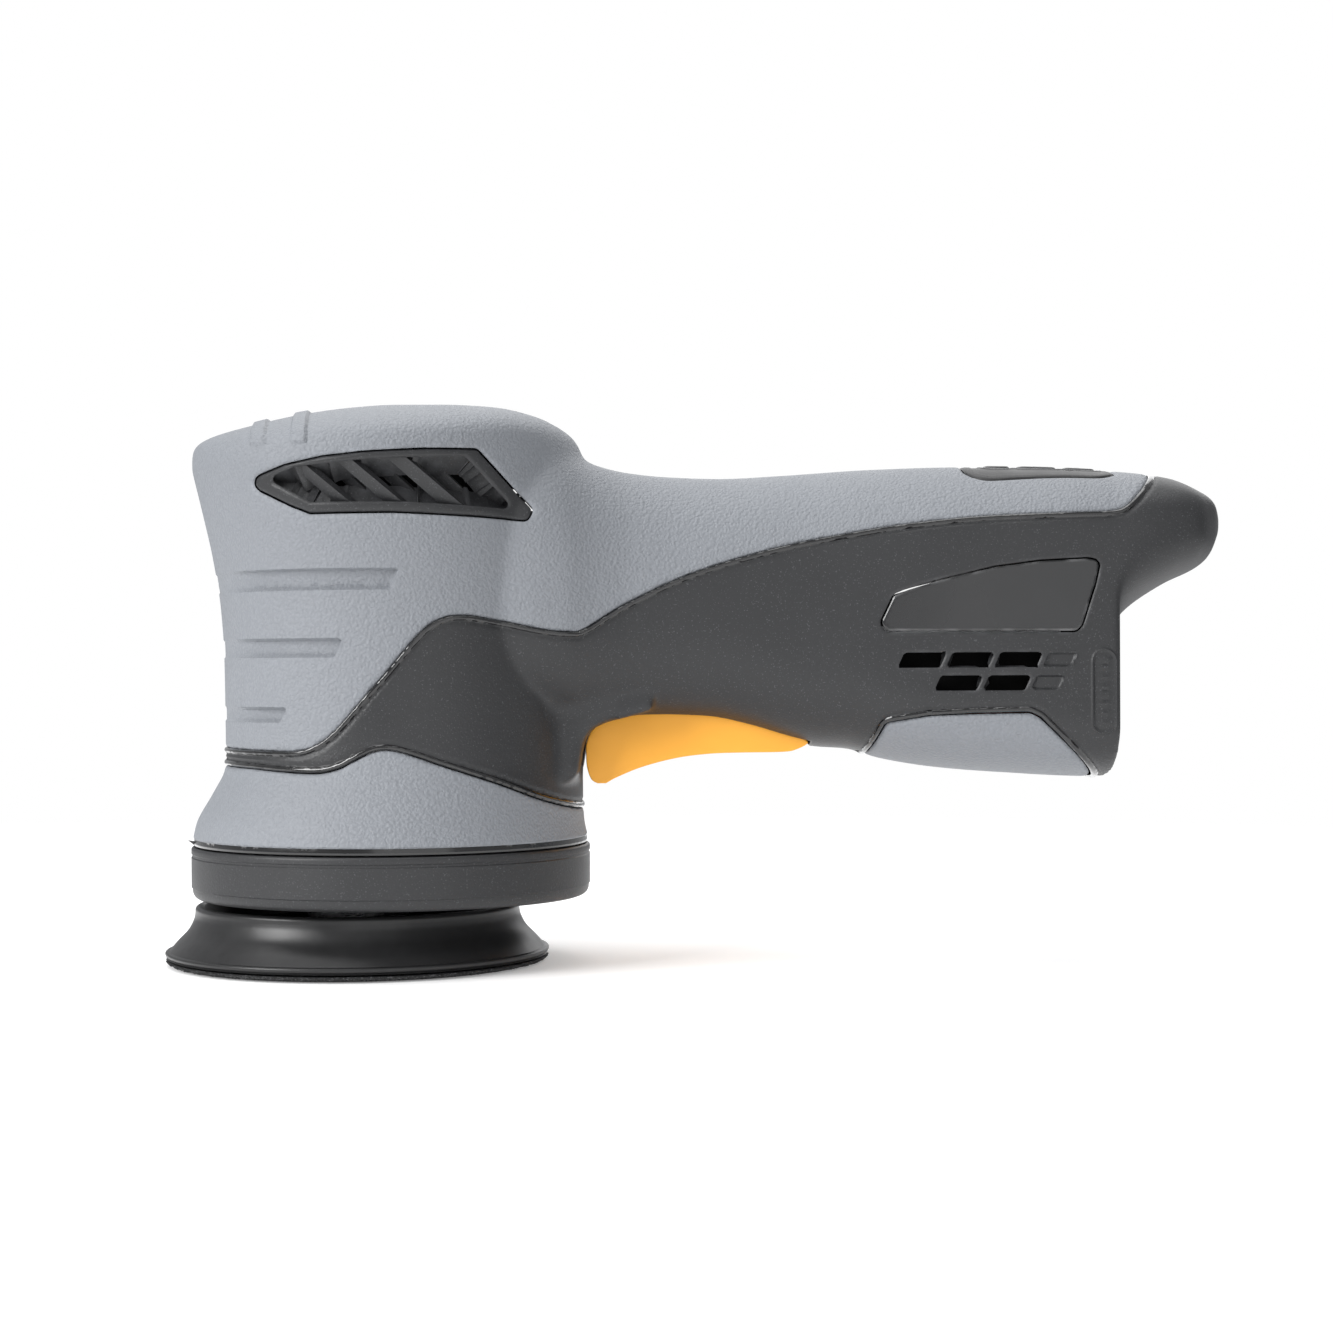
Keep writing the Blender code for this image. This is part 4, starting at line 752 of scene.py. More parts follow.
def head_grooves(places):
    """Recessed bands round the head: they fade towards its front and end at a slant."""
    depth = np.zeros(len(places))
    x, y, z = places.T
    for low, height, rear in GROOVES:
        end = rear + 1.6 * (z - low) / height
        band = np.minimum(z - low, low + height - z)
        side = np.minimum(band, end - x)
        depth = np.maximum(depth, ramp(side, -0.2, 0.6) * ramp(x, -26, -15) * (y < -8))
        tip = np.minimum(band, 9.0 - np.abs(y))
        depth = np.maximum(depth, 0.8 * ramp(tip, -0.2, 1.2) * (x < -15))
    return -depth * sizes().groove_depth / MM


def groove_rules():
    rules = []
    for low, height, rear in GROOVES:
        outline = [(HEAD_FRONT_X - 9, low), (rear, low), (rear + 1.6, low + height),
                   (HEAD_FRONT_X - 9, low + height)]
        rules.append(outline_rule(outline))
    return rules


def chevron_rules():
    """Raised bars across the top of the head, which point forwards."""
    rules = []
    for x, half in CHEVRONS:
        outline = [(x, 1), (x + 2.8, 1), (x + 2.8, 0), (x + 6.8, -half), (x + 4.0, -half), (x, 0)]
        rule = outline_rule(outline, (0, 1))
        rules.append(lambda places, rule=rule: np.maximum(rule(places), RIM_Z + 3 - places[:, 2]))
    return rules


def grip_bm():
    bm = base_half()
    edges = [turned_over(moved(ABOVE, -GAP / 2)), moved(GRILLE, GAP), moved(PANEL, GAP)]
    radius = sizes().edge_round / MM
    for rule in edges:
        carve(bm, rule, (0.3 * radius, radius))
    for rule in groove_rules():
        score(bm, rule, (0.2, -0.3, -0.9))
    chevrons = chevron_rules()
    for rule in chevrons:
        score(bm, rule, (0.25, -0.25))
    inside = nearest(*edges)
    raised = nearest(*chevrons)
    record_edge(bm, inside, 3.0)
    press(bm, lambda p: -edge_drop(inside(p), radius, 0.5 * radius), head_grooves,
          lambda p: 0.6 * ramp(-raised(p), -0.3, 0.3))
    turn_in(bm, 1.6)
    return bm


def collar_bm():
    bm = base_half()
    edge = turned_over(moved(BELOW, -GAP / 2))
    radius = sizes().edge_round / MM
    carve(bm, edge, (0.3 * radius, radius))
    foot = lambda places: SEAM_Z + 1.3 - places[:, 2]
    score(bm, foot, (0.0, -0.25, 0.9))
    paint(bm, turned_over(foot), 1)
    record_edge(bm, edge, 3.0)
    press(bm, lambda p: -edge_drop(edge(p), radius, 0.5 * radius),
          lambda p: -0.25 * ramp(foot(p), -0.25, 0.0),
          lambda p: -edge_drop(p[:, 2] - SEAM_Z, 0.5, 0.3))
    turn_in(bm, 1.6)
    return bm


def patch_bm(rule, radius, drop_by, rise=0.0):
    """A patch cut from the side, with rounded edges."""
    bm = base_half()
    inside = turned_over(rule)
    carve(bm, inside, (0.3 * radius, radius))
    record_edge(bm, inside, 2.0)
    press(bm, lambda p: rise - edge_drop(inside(p), radius, drop_by))
    turn_in(bm, 1.4)
    return bm


# ---------------------------------------------------------------- hard shell

def screw_rule(x, z):
    return lambda places: np.hypot(places[:, 0] - x, places[:, 2] - z) - SCREW_HOLE


def shell_bm(side):
    """Half of the hard shell, with its glossy beads, slots and windows."""
    bm = base_half()
    bead = sizes().bead_width / MM
    rise = sizes().bead_rise / MM
    bead_levels = (0.2, 0.5 * bead, bead - 0.2, bead, bead + 0.3, bead + 0.8)
    beaded = [moved(ABOVE, -GAP / 2), moved(BELOW, 0.0), moved(HEEL, GAP)]
    for rule in beaded:
        carve(bm, rule, bead_levels)
    holes = [moved(BADGE, GAP), dock_window, trigger_slot]
    for rule in holes:
        carve(bm, rule, (0.4,))
    for x, z, count, width in SLOT_ROWS:
        for number in range(count):
            rule = outline_rule(leaning(x + SLOT_PITCH * number, z, width), corner=0.4)
            holes.append(rule)
            carve(bm, rule, (0.35,))
    if side == "right":
        for place in SCREW_PLACES:
            rule = screw_rule(*place)
            holes.append(rule)
            carve(bm, rule, (0.5,))
    blind = [outline_rule(leaning(*place), corner=0.5) for place in BLIND_SLOTS]
    for rule in blind + [capsule]:
        score(bm, rule, (0.3, 0.0, -0.5))
    for rule in beaded:
        paint(bm, moved(rule, bead), 1)
    near_bead = nearest(*beaded)
    hole = nearest(*holes)
    blinds = nearest(*blind)
    record_edge(bm, nearest(near_bead, hole), 2.5)

    def bead_relief(p):
        value = near_bead(p)
        crown = np.sqrt(np.clip(1 - (2 * value / bead - 1) ** 2, 0, 1))
        groove = ramp(value, bead - 0.05, bead + 0.1) * (1 - ramp(value, bead + 0.3, bead + 0.8))
        return np.where(value < bead, rise * crown - 0.15 * (1 - crown), 0) - 0.18 * groove

    def capsule_relief(p):
        value = capsule(p)
        ring = ramp(value, -0.5, -0.1) * (1 - ramp(value, 0.0, 0.35))
        ribs = 0.5 + 0.5 * np.cos(2 * math.pi * p[:, 2] / RIB_PITCH)
        return 0.3 * ring + 0.28 * ramp(ribs, 0.3, 0.7) * ramp(-value, 0.9, 1.1)

    press(bm, bead_relief, lambda p: -edge_drop(hole(p), 0.4, 0.25),
          lambda p: -0.5 * ramp(-blinds(p), -0.1, 0.45),
          lambda p: 0.18 * ramp(-blinds(p), -0.35, -0.1) * (1 - ramp(-blinds(p), -0.1, 0.1)),
          capsule_relief)
    turn_in(bm, SHELL_WALL)
    # A near-black wall behind the vent slots: painted shade for the dark inside of the tool.
    x, z = SLOT_ROWS[0][0] - 3, SLOT_ROWS[1][1] - 2
    painted_shade_wall = [(x, z), (x + 40, z), (x + 40, z + 11), (x, z + 11)]
    bent_slab(bm, painted_shade_wall, (4.4, 4.4), SHADE_WALL_THICKNESS, (16, 6), 2)
    return bm


# ---------------------------------------------------------------- vent grille

def bent_slab(bm, corners, insets, thickness, steps=(4, 14), index=0):
    """A thin slab that follows the side: its corners run round as (x, z)."""
    part = bmesh.new()
    bmesh.ops.create_grid(part, x_segments=steps[0], y_segments=steps[1], size=1.0)
    a, b, c, d = (Vector(corner) for corner in corners)
    for vert in part.verts:
        u, v = (vert.co.x + 1) / 2, (vert.co.y + 1) / 2
        place = a.lerp(b, u).lerp(d.lerp(c, u), v)
        vert.co = side_point(place.x, place.y, insets[0] + (insets[1] - insets[0]) * u)[0]
    bmesh.ops.recalc_face_normals(part, faces=part.faces)
    part.normal_update()
    if sum(face.normal.y for face in part.faces) > 0:
        bmesh.ops.reverse_faces(part, faces=part.faces)
    bmesh.ops.solidify(part, geom=part.faces, thickness=thickness)
    for face in part.faces:
        face.material_index = index
    add_mesh(bm, part)


def grille_bm():
    """The vent's frame, its slanting louvres in two rows and a near-black wall behind them, which
    is painted shade for the dark inside of the vent.
    """
    bm = base_half()
    outside = turned_over(GRILLE)
    carve(bm, outside, (0.3, 0.8))
    carve(bm, OPENING, (0.3, 0.7))
    inside = nearest(outside, OPENING)
    record_edge(bm, inside, 1.5)
    press(bm, lambda p: -0.15 - edge_drop(inside(p), 0.7, 0.4))
    turn_in(bm, 6.0)
    for x, width, reach in LOUVRES:
        outline = [(x, LOUVRE_TOP_Z), (x + width, LOUVRE_TOP_Z),
                   (x + width + reach, LOUVRE_LOW_Z), (x + reach, LOUVRE_LOW_Z)]
        bent_slab(bm, outline, (1.9, 0.7), LOUVRE_THICKNESS)
        behind = [(px + 5.0, pz) for px, pz in outline]
        bent_slab(bm, behind, (5.2, 3.9), BACK_LOUVRE_THICKNESS)
    # A near-black wall behind the louvres: painted shade for the dark inside of the vent.
    back = [(-15, RIM_Z + 0.8), (28, RIM_Z + 0.8), (36, LOUVRE_LOW_Z - 1.4),
            (-9, LOUVRE_LOW_Z - 1.4)]
    bent_slab(bm, back, (6.6, 6.6), SHADE_WALL_THICKNESS, (24, 8), 1)
    return bm


# ---------------------------------------------------------------- control panel and buttons

def whole_from_half(bm):
    """Join a near half to its mirror image across the middle plane."""
    for vert in bm.verts:
        if vert.co.y > -0.2:
            vert.co.y = 0.0
    bmesh.ops.mirror(bm, geom=bm.verts[:] + bm.edges[:] + bm.faces[:], axis="Y", merge_dist=0.01)
    bmesh.ops.recalc_face_normals(bm, faces=bm.faces)
    bm.normal_update()
    if sum(face.normal.z for face in bm.faces) < 0:
        bmesh.ops.reverse_faces(bm, faces=bm.faces)
    return bm


def button_rule(number):
    low, high, corner = BUTTON_PLANS[number]
    return on_top(outline_rule(rounded_plan(low, high, BUTTON_HALF, corner), (0, 1)))


def panel_bm():
    bm = base_half()
    inside = turned_over(PANEL)
    carve(bm, inside, (0.3, 0.8, 1.6, 2.0))
    holes = [moved(button_rule(number), GAP) for number in range(len(BUTTON_PLANS))]
    for rule in holes:
        carve(bm, rule, (0.3, 0.7))
    hole = nearest(*holes)
    for rule in holes:
        paint(bm, lambda p, rule=rule: np.maximum(0.3 - rule(p), rule(p) - 0.7), 1)
    record_edge(bm, inside, 1.5)
    press(bm, lambda p: -edge_drop(inside(p), 0.8, 0.45) - edge_drop(hole(p), 0.3, 0.2),
          lambda p: 0.2 * (1 - ramp(hole(p), 0.7, 0.9)),
          lambda p: -0.15 * ramp(inside(p), 1.6, 2.0))
    bm = whole_from_half(bm)
    turn_in(bm, 1.6)
    return bm


def button_bm(number):
    bm = base_half()
    inside = turned_over(button_rule(number))
    carve(bm, inside, (0.3, 0.9))
    low, high, _ = BUTTON_PLANS[number]
    middle = (low + high) / 2
    mark = lambda p: np.maximum(np.abs(p[:, 0] - middle) - 0.7, np.abs(p[:, 1]) - 2.2 - number)
    score(bm, mark, (0.0,))
    paint(bm, mark, 1)
    press(bm, lambda p: 0.3 - edge_drop(inside(p), 0.8, 0.45),
          lambda p: 0.12 * ramp(-mark(p), 0, 0.2))
    bm = whole_from_half(bm)
    turn_in(bm, 2.2)
    return bm


# ---------------------------------------------------------------- turned pieces

def spun(profile, centre_x=0.0, closed=True):
    """A turned solid: its profile of (radius, height) runs down the outside first."""
    bm = bmesh.new()
    verts = [bm.verts.new((radius, 0, height)) for radius, height in profile]
    pairs = list(zip(verts, verts[1:])) + ([(verts[-1], verts[0])] if closed else [])
    edges = [bm.edges.new(pair) for pair in pairs]
    bmesh.ops.spin(bm, geom=verts + edges, cent=(0, 0, 0), axis=(0, 0, 1), use_merge=True,
                   angle=2 * math.pi, steps=sizes().turn_steps)
    bmesh.ops.remove_doubles(bm, verts=bm.verts, dist=0.0005)
    bmesh.ops.recalc_face_normals(bm, faces=bm.faces)
    bmesh.ops.translate(bm, vec=(centre_x, 0, 0), verts=bm.verts)
    return bm


def arc(middle, radius, start, end, steps=8):
    """Points of a round stretch of a profile, with angles in degrees."""
    angles = [math.radians(start + (end - start) * i / steps) for i in range(steps + 1)]
    return [(middle[0] + radius * math.cos(a), middle[1] + radius * math.sin(a)) for a in angles]


def pad_bm():
    """The pad's rubber: a rolled rim, a hollow flare and a thin lip over the hook face."""
    top, edge = PAD_HIGH.z, PAD_LOW.z + 0.7
    rim = 32.2
    flare = smooth_line([(rim - 0.1, top - 1.4), (rim + 0.2, top - 2.8), (rim + 1.3, top - 4.9),
                         (rim + 3.4, top - 7.1), (PAD_RADIUS - 0.9, edge + 0.75)], 5)
    profile = arc((rim - 1.0, top - 0.9), 0.9, 100, 0) + flare
    profile += arc((PAD_RADIUS - 0.45, edge + 0.25), 0.45, 75, -40, 6)
    profile += [(PAD_RADIUS - 0.5, edge - 0.35), (PAD_RADIUS - 0.25, PAD_LOW.z + 0.15),
                (PAD_RADIUS - 0.6, PAD_LOW.z), (10.3, PAD_LOW.z), (10.3, 6.5),
                (rim - 5, 6.5), (rim - 3.2, 7.4), (rim - 2.4, top - 1.2), (rim - 1.9, top - 0.2)]
    return spun(profile)


HOOK_RINGS, HOOKS_PER_RING = 3, 264


def hook_bm():
    """The hook face: a soft disc with a fringe of small hooks round its edge."""
    thick = HOOK_HIGH.z
    bm = spun([(0, thick), (PAD_RADIUS - 0.5, thick), (PAD_RADIUS - 0.3, thick - 0.2),
               (PAD_RADIUS - 0.6, 0.75), (PAD_RADIUS - 2.4, 0.1), (0, 0.1)], closed=False)
    for ring in range(HOOK_RINGS):
        for number in range(HOOKS_PER_RING):
            angle = 2 * math.pi * (number + ring / HOOK_RINGS) / HOOKS_PER_RING
            wobble = 0.22 * math.sin(7.3 * number + 2.1 * ring)
            radius = PAD_RADIUS - 0.45 - 0.5 * ring + 0.1 * math.sin(3.7 * number)
            height = thick * (0.78 - 0.2 * ring) + 0.6 * wobble
            place = Matrix.Translation((radius, 0, max(0.4, height)))
            turn = Matrix.Rotation(angle, 4, "Z") @ place
            tilt = Matrix.Rotation(math.radians(62 + 30 * ring + 40 * wobble), 4, "Y")
            bmesh.ops.create_cone(bm, cap_ends=True, segments=5, radius1=0.2, radius2=0.07,
                                  depth=0.62, matrix=turn @ tilt)
    for vert in bm.verts:
        vert.co.z = max(vert.co.z, 0.02)
    return bm


def shroud_bm():
    top, low = SHROUD_HIGH.z, SHROUD_LOW.z
    r, wall = SHROUD_RADIUS, 2.7
    profile = arc((r - 0.6, top - 0.6), 0.6, 100, 0, 5)
    profile += [(r, top - 1.3), (r - 0.18, top - 1.5), (r - 0.18, top - 1.9), (r, top - 2.1)]
    profile += [(r, low + 2.4), (r - 0.22, low + 2.2)]
    profile += arc((r - 1.9, low + 1.7), 1.65, 0, -90, 7)
    profile += [(r - wall - 0.9, low), (r - wall, low + 1.4), (r - wall, top - 2),
                (r - wall - 2.5, top - 2), (r - wall - 2.5, top)]
    bm = spun(profile, SHROUD_CENTRE_X)
    arrow = [(3.6, 19.5), (7.5, 21.2), (7.5, 20.4), (13.0, 20.2), (13.0, 18.7), (7.5, 18.5),
             (7.5, 17.7)]
    for sign in (1, -1):
        part = bmesh.new()
        verts = [part.verts.new((x, 0, z)) for x, z in arrow]
        part.faces.new(verts)
        bmesh.ops.solidify(part, geom=part.faces, thickness=0.5)
        for vert in part.verts:
            out = abs(vert.co.y) > 0.2
            reach = r + (0.3 if out else -0.3)
            x = vert.co.x - SHROUD_CENTRE_X
            vert.co.y = -sign * math.sqrt(reach ** 2 - x ** 2)
        bmesh.ops.recalc_face_normals(part, faces=part.faces)
        bmesh.ops.bevel(part, geom=part.edges[:], offset=0.08, segments=2, profile=0.5,
                        affect="EDGES", material=-1)
        for face in part.faces:
            face.material_index = 1
        add_mesh(bm, part)
    return bm


# ---------------------------------------------------------------- trigger and battery dock

def trigger_bm():
    """The trigger: a curved finger face with soft edges, and a stem up into the handle."""
    front = HEAD_BACK_X + 0.9
    tip = smooth_line([(front + 2.2, 35.6), (front + 1.0, 36.4), (front + 0.2, 38.6), (front, 41.0),
                       (front + 0.1, 43.6), (front + 1.3, 46.2), (front + 3.6, 47.9)], 4)
    stem_z = TRIGGER_HIGH.z - 3.5
    top = [(front + 4.2, stem_z), (78, stem_z), (81.5, 56.2), (86.5, 56), (87.2, 53), (87.4, 45.6)]
    tail = smooth_line([(TRIGGER_HIGH.x - 0.6, 43.9), (TRIGGER_HIGH.x - 0.3, 43.2),
                        (TRIGGER_HIGH.x - 2.4, 42.1), (84.8, 41.6), (77, 41.5), (70.3, 41.3),
                        (63.7, 40.5), (57, 38.8), (52, 36.8), (49.8, 35.6)], 5)
    outline = tip + top + tail
    half = TRIGGER_HIGH.y
    bm = prism_bm(outline, -half, half)
    sides = [e for e in bm.edges if len(e.link_faces) == 2
             and e.calc_face_angle(0) > math.radians(60)]
    bmesh.ops.bevel(bm, geom=sides, offset=2.0, segments=6, profile=0.5, affect="EDGES",
                    material=-1, clamp_overlap=True)
    return bm


def dock_bm():
    """The battery face: a bevelled plate with a deep socket and a raised step inside it."""
    bm = bmesh.new()
    bmesh.ops.create_cube(bm, size=1.0)
    bmesh.ops.scale(bm, vec=DOCK_HIGH - DOCK_LOW, verts=bm.verts)
    bmesh.ops.translate(bm, vec=(DOCK_HIGH + DOCK_LOW) / 2, verts=bm.verts)
    face = max(bm.faces, key=lambda f: f.calc_center_median().x)
    bmesh.ops.inset_region(bm, faces=[face], thickness=3.9, depth=0.0)
    bmesh.ops.inset_region(bm, faces=[face], thickness=0.5, depth=-2.2)
    bmesh.ops.inset_region(bm, faces=[face], thickness=1.2, depth=0.0)
    bmesh.ops.inset_region(bm, faces=[face], thickness=0.3, depth=0.5)
    bmesh.ops.bevel(bm, geom=[e for e in bm.edges if e.calc_face_angle(0) > 0.6], offset=0.25,
                    segments=3, profile=0.5, affect="EDGES", material=-1)
    return bm


# ---------------------------------------------------------------- finishes

FINISHES = {}


def node(tree, kind, **settings):
    made = tree.nodes.new(kind)
    for key, value in settings.items():
        if key in made.inputs:
            made.inputs[key].default_value = value
        else:
            setattr(made, key, value)
    return made


def finish(name, colour, second, rough, metallic=0.0, grain=0.0, grain_size=0.9, fine=0.0,
           stretch=(1, 1, 1), edge_wear_and_highlight=None, speckle=None, coat=0.0, patches=9.0, specular=0.5):
    """A procedural finish: two mixed tones, coarse and fine grain, lighter edges and speckles; the
    lighter edges are wear on most finishes and a painted highlight on the label plates, and the
    shell's speckles are painted glints.

    Grain depth and sizes are in millimetres, and rough is the lowest and highest roughness.
    """
    if name in FINISHES:
        return FINISHES[name]
    material = bpy.data.materials.new(name)
    material.use_nodes = True
    tree = material.node_tree
    shader = tree.nodes["Principled BSDF"]
    shader.inputs["Metallic"].default_value = metallic
    shader.inputs["Coat Weight"].default_value = coat
    shader.inputs["Coat Roughness"].default_value = 0.12
    shader.inputs["Specular IOR Level"].default_value = specular
    link = tree.links.new
    place = node(tree, "ShaderNodeTexCoord")
    mapping = node(tree, "ShaderNodeMapping")
    mapping.inputs["Scale"].default_value = stretch
    link(place.outputs["Object"], mapping.inputs["Vector"])

    def noise(size, detail=2.0):
        made = node(tree, "ShaderNodeTexNoise", Scale=1 / (size * MM), Detail=detail)
        link(mapping.outputs["Vector"], made.inputs["Vector"])
        return made.outputs["Fac"]

    def mix(factor, first, other):
        made = tree.nodes.new("ShaderNodeMix")
        made.data_type = "RGBA"
        link(factor, made.inputs[0])
        for value, index in ((first, 6), (other, 7)):
            if isinstance(value, tuple):
                made.inputs[index].default_value = (*value, 1.0)
            else:
                link(value, made.inputs[index])
        return made.outputs[2]

    def spread(value, low, high, to_low=0.0, to_high=1.0):
        made = node(tree, "ShaderNodeMapRange")
        for key, number in zip(("From Min", "From Max", "To Min", "To Max"),
                               (low, high, to_low, to_high)):
            made.inputs[key].default_value = number
        link(value, made.inputs["Value"])
        return made.outputs["Result"]

    broad = noise(patches, 3.0)
    base = mix(spread(broad, 0.35, 0.65), tuple(colour), tuple(second))
    roughness = spread(broad, 0.3, 0.7, *rough)
    height = None
    if grain:
        cells = node(tree, "ShaderNodeTexVoronoi", Scale=1 / (grain_size * MM),
                     feature="SMOOTH_F1", Smoothness=0.6)
        warp = noise(grain_size * 1.6, 2.0)
        joined = node(tree, "ShaderNodeVectorMath", operation="MULTIPLY_ADD")
        joined.inputs[1].default_value = (0.0011 * grain_size,) * 3
        link(warp, joined.inputs[0])
        link(mapping.outputs["Vector"], joined.inputs[2])
        link(joined.outputs["Vector"], cells.inputs["Vector"])
        soft = noise(grain_size * 0.8, 3.0)
        total = node(tree, "ShaderNodeMath", operation="MULTIPLY_ADD")
        total.inputs[1].default_value = 0.9
        link(soft, total.inputs[0])
        link(cells.outputs["Distance"], total.inputs[2])
        height = node(tree, "ShaderNodeBump", Strength=0.9, Distance=grain * MM)
        link(total.outputs[0], height.inputs["Height"])
        darker = tuple(0.9 * c for c in second)
        base = mix(spread(total.outputs[0], 0.75, 1.05), base, darker)
    if fine:
        small = noise(0.22, 2.0)
        bump = node(tree, "ShaderNodeBump", Strength=0.7, Distance=fine * MM)
        link(small, bump.inputs["Height"])
        if height:
            link(height.outputs["Normal"], bump.inputs["Normal"])
        height = bump
    # Lighter dots; on the hard shell these are painted glints.
    if speckle:
        dots = noise(speckle[0], 1.0)
        base = mix(spread(dots, speckle[1], speckle[1] + 0.05), base, tuple(speckle[2]))
    # Lighter edges: rubbed wear on most finishes, a painted edge highlight on the label plates.
    if edge_wear_and_highlight:
        near = node(tree, "ShaderNodeAttribute", attribute_name="edge_near")
        wear_and_highlight_mask = node(tree, "ShaderNodeMath", operation="MULTIPLY")
        link(spread(near.outputs["Fac"], 0.72, 1.0), wear_and_highlight_mask.inputs[0])
        link(spread(noise(4.0, 4.0), 0.45, 0.7), wear_and_highlight_mask.inputs[1])
        base = mix(wear_and_highlight_mask.outputs[0], base, tuple(edge_wear_and_highlight))
    if height:
        link(height.outputs["Normal"], shader.inputs["Normal"])
    link(base, shader.inputs["Base Color"])
    link(roughness, shader.inputs["Roughness"])
    FINISHES[name] = material
    return material


def shade(colour, factor):
    return tuple(min(1.0, c * factor) for c in colour)


def floor_paper():
    """White paper that fades into the white of the room away from the tool."""
    paper = finish("floor_paper", (0.93, 0.93, 0.93), (0.95, 0.95, 0.95), (0.9, 0.95), fine=0.01,
                   patches=400.0, specular=0.1)
    tree = paper.node_tree
    tree.nodes["Principled BSDF"].inputs["Emission Color"].default_value = (1, 1, 1, 1)
    tree.nodes["Principled BSDF"].inputs["Emission Strength"].default_value = 0.22
    place = node(tree, "ShaderNodeTexCoord")
    reach = node(tree, "ShaderNodeVectorMath", operation="LENGTH")
    fade = node(tree, "ShaderNodeMapRange")
    for key, number in zip(("From Min", "From Max"), (0.22, 0.5)):
        fade.inputs[key].default_value = number
    clear = node(tree, "ShaderNodeBsdfTransparent")
    choose = node(tree, "ShaderNodeMixShader")
    tree.links.new(place.outputs["Object"], reach.inputs[0])
    tree.links.new(reach.outputs["Value"], fade.inputs["Value"])
    tree.links.new(fade.outputs[0], choose.inputs[0])
    tree.links.new(tree.nodes["Principled BSDF"].outputs[0], choose.inputs[1])
    tree.links.new(clear.outputs[0], choose.inputs[2])
    tree.links.new(choose.outputs[0], tree.nodes["Material Output"].inputs[0])
    return paper


def soft_grip():
    colour = tuple(colours().grip)
    return finish("soft_grip", colour, shade(colour, 1.07), (0.5, 0.62), edge_wear_and_highlight=shade(colour, 1.3),
                  grain=sizes().grain / MM, grain_size=0.62, fine=0.02, patches=30.0)


# The shell's lighter speckles are painted glints on its textured surface.
def hard_shell():
    colour = tuple(colours().shell)
    return finish("hard_shell", colour, shade(colour, 1.25), (0.4, 0.5), grain=0.03,
                  grain_size=0.5, fine=0.02, edge_wear_and_highlight=shade(colour, 2.6), patches=18.0,
                  speckle=(0.3, 0.66, shade(colour, 3.2)))


def gloss_trim():
    return finish("gloss_trim", (0.006, 0.006, 0.0065), (0.009, 0.009, 0.01), (0.12, 0.2),
                  coat=0.6, fine=0.002, edge_wear_and_highlight=(0.03, 0.03, 0.03))


# The plate's lighter, noise-broken border is a painted highlight along its edge.
def badge_finish():
    return finish("badge_plate", (0.013, 0.0135, 0.0145), (0.018, 0.018, 0.019), (0.2, 0.3),
                  coat=0.4, fine=0.002, edge_wear_and_highlight=(0.16, 0.16, 0.165), patches=14.0)


# Near-black and matt: painted shade, for the walls put behind the vents where the tool's inside
# lies in shadow.
def painted_shade_inside():
    return finish("painted_shade_inside", (0.003, 0.003, 0.003), (0.005, 0.005, 0.005), (0.8, 0.9),
                  fine=0.02, specular=0.1)


def panel_trim():
    return finish("panel_trim", (0.012, 0.012, 0.013), (0.017, 0.017, 0.018), (0.42, 0.5),
                  fine=0.01, edge_wear_and_highlight=(0.05, 0.05, 0.05))


def light_line():
    return finish("light_line", (0.42, 0.43, 0.44), (0.36, 0.37, 0.38), (0.4, 0.5), fine=0.004)


def button_rubber():
    return finish("button_rubber", (0.016, 0.016, 0.017), (0.022, 0.022, 0.023), (0.45, 0.55),
                  fine=0.015)


def pad_rubber():
    colour = tuple(colours().pad)
    return finish("pad_rubber", colour, shade(colour, 1.5), (0.3, 0.4), fine=0.008, patches=12.0,
                  grain=0.01, grain_size=2.2)


def hook_cloth():
    return finish("hook_cloth", (0.008, 0.008, 0.0085), (0.016, 0.016, 0.017), (0.6, 0.8),
                  grain=0.25, grain_size=0.7, fine=0.05, speckle=(0.4, 0.6, (0.11, 0.11, 0.115)))


def trigger_plastic():
    colour = tuple(colours().trigger)
    return finish("trigger_plastic", colour, shade(colour, 0.93), (0.38, 0.48), fine=0.01,
                  patches=15.0)


def steel():
    return finish("steel", (0.56, 0.56, 0.58), (0.46, 0.46, 0.48), (0.2, 0.34), metallic=1.0,
                  fine=0.004, stretch=(1, 1, 6))


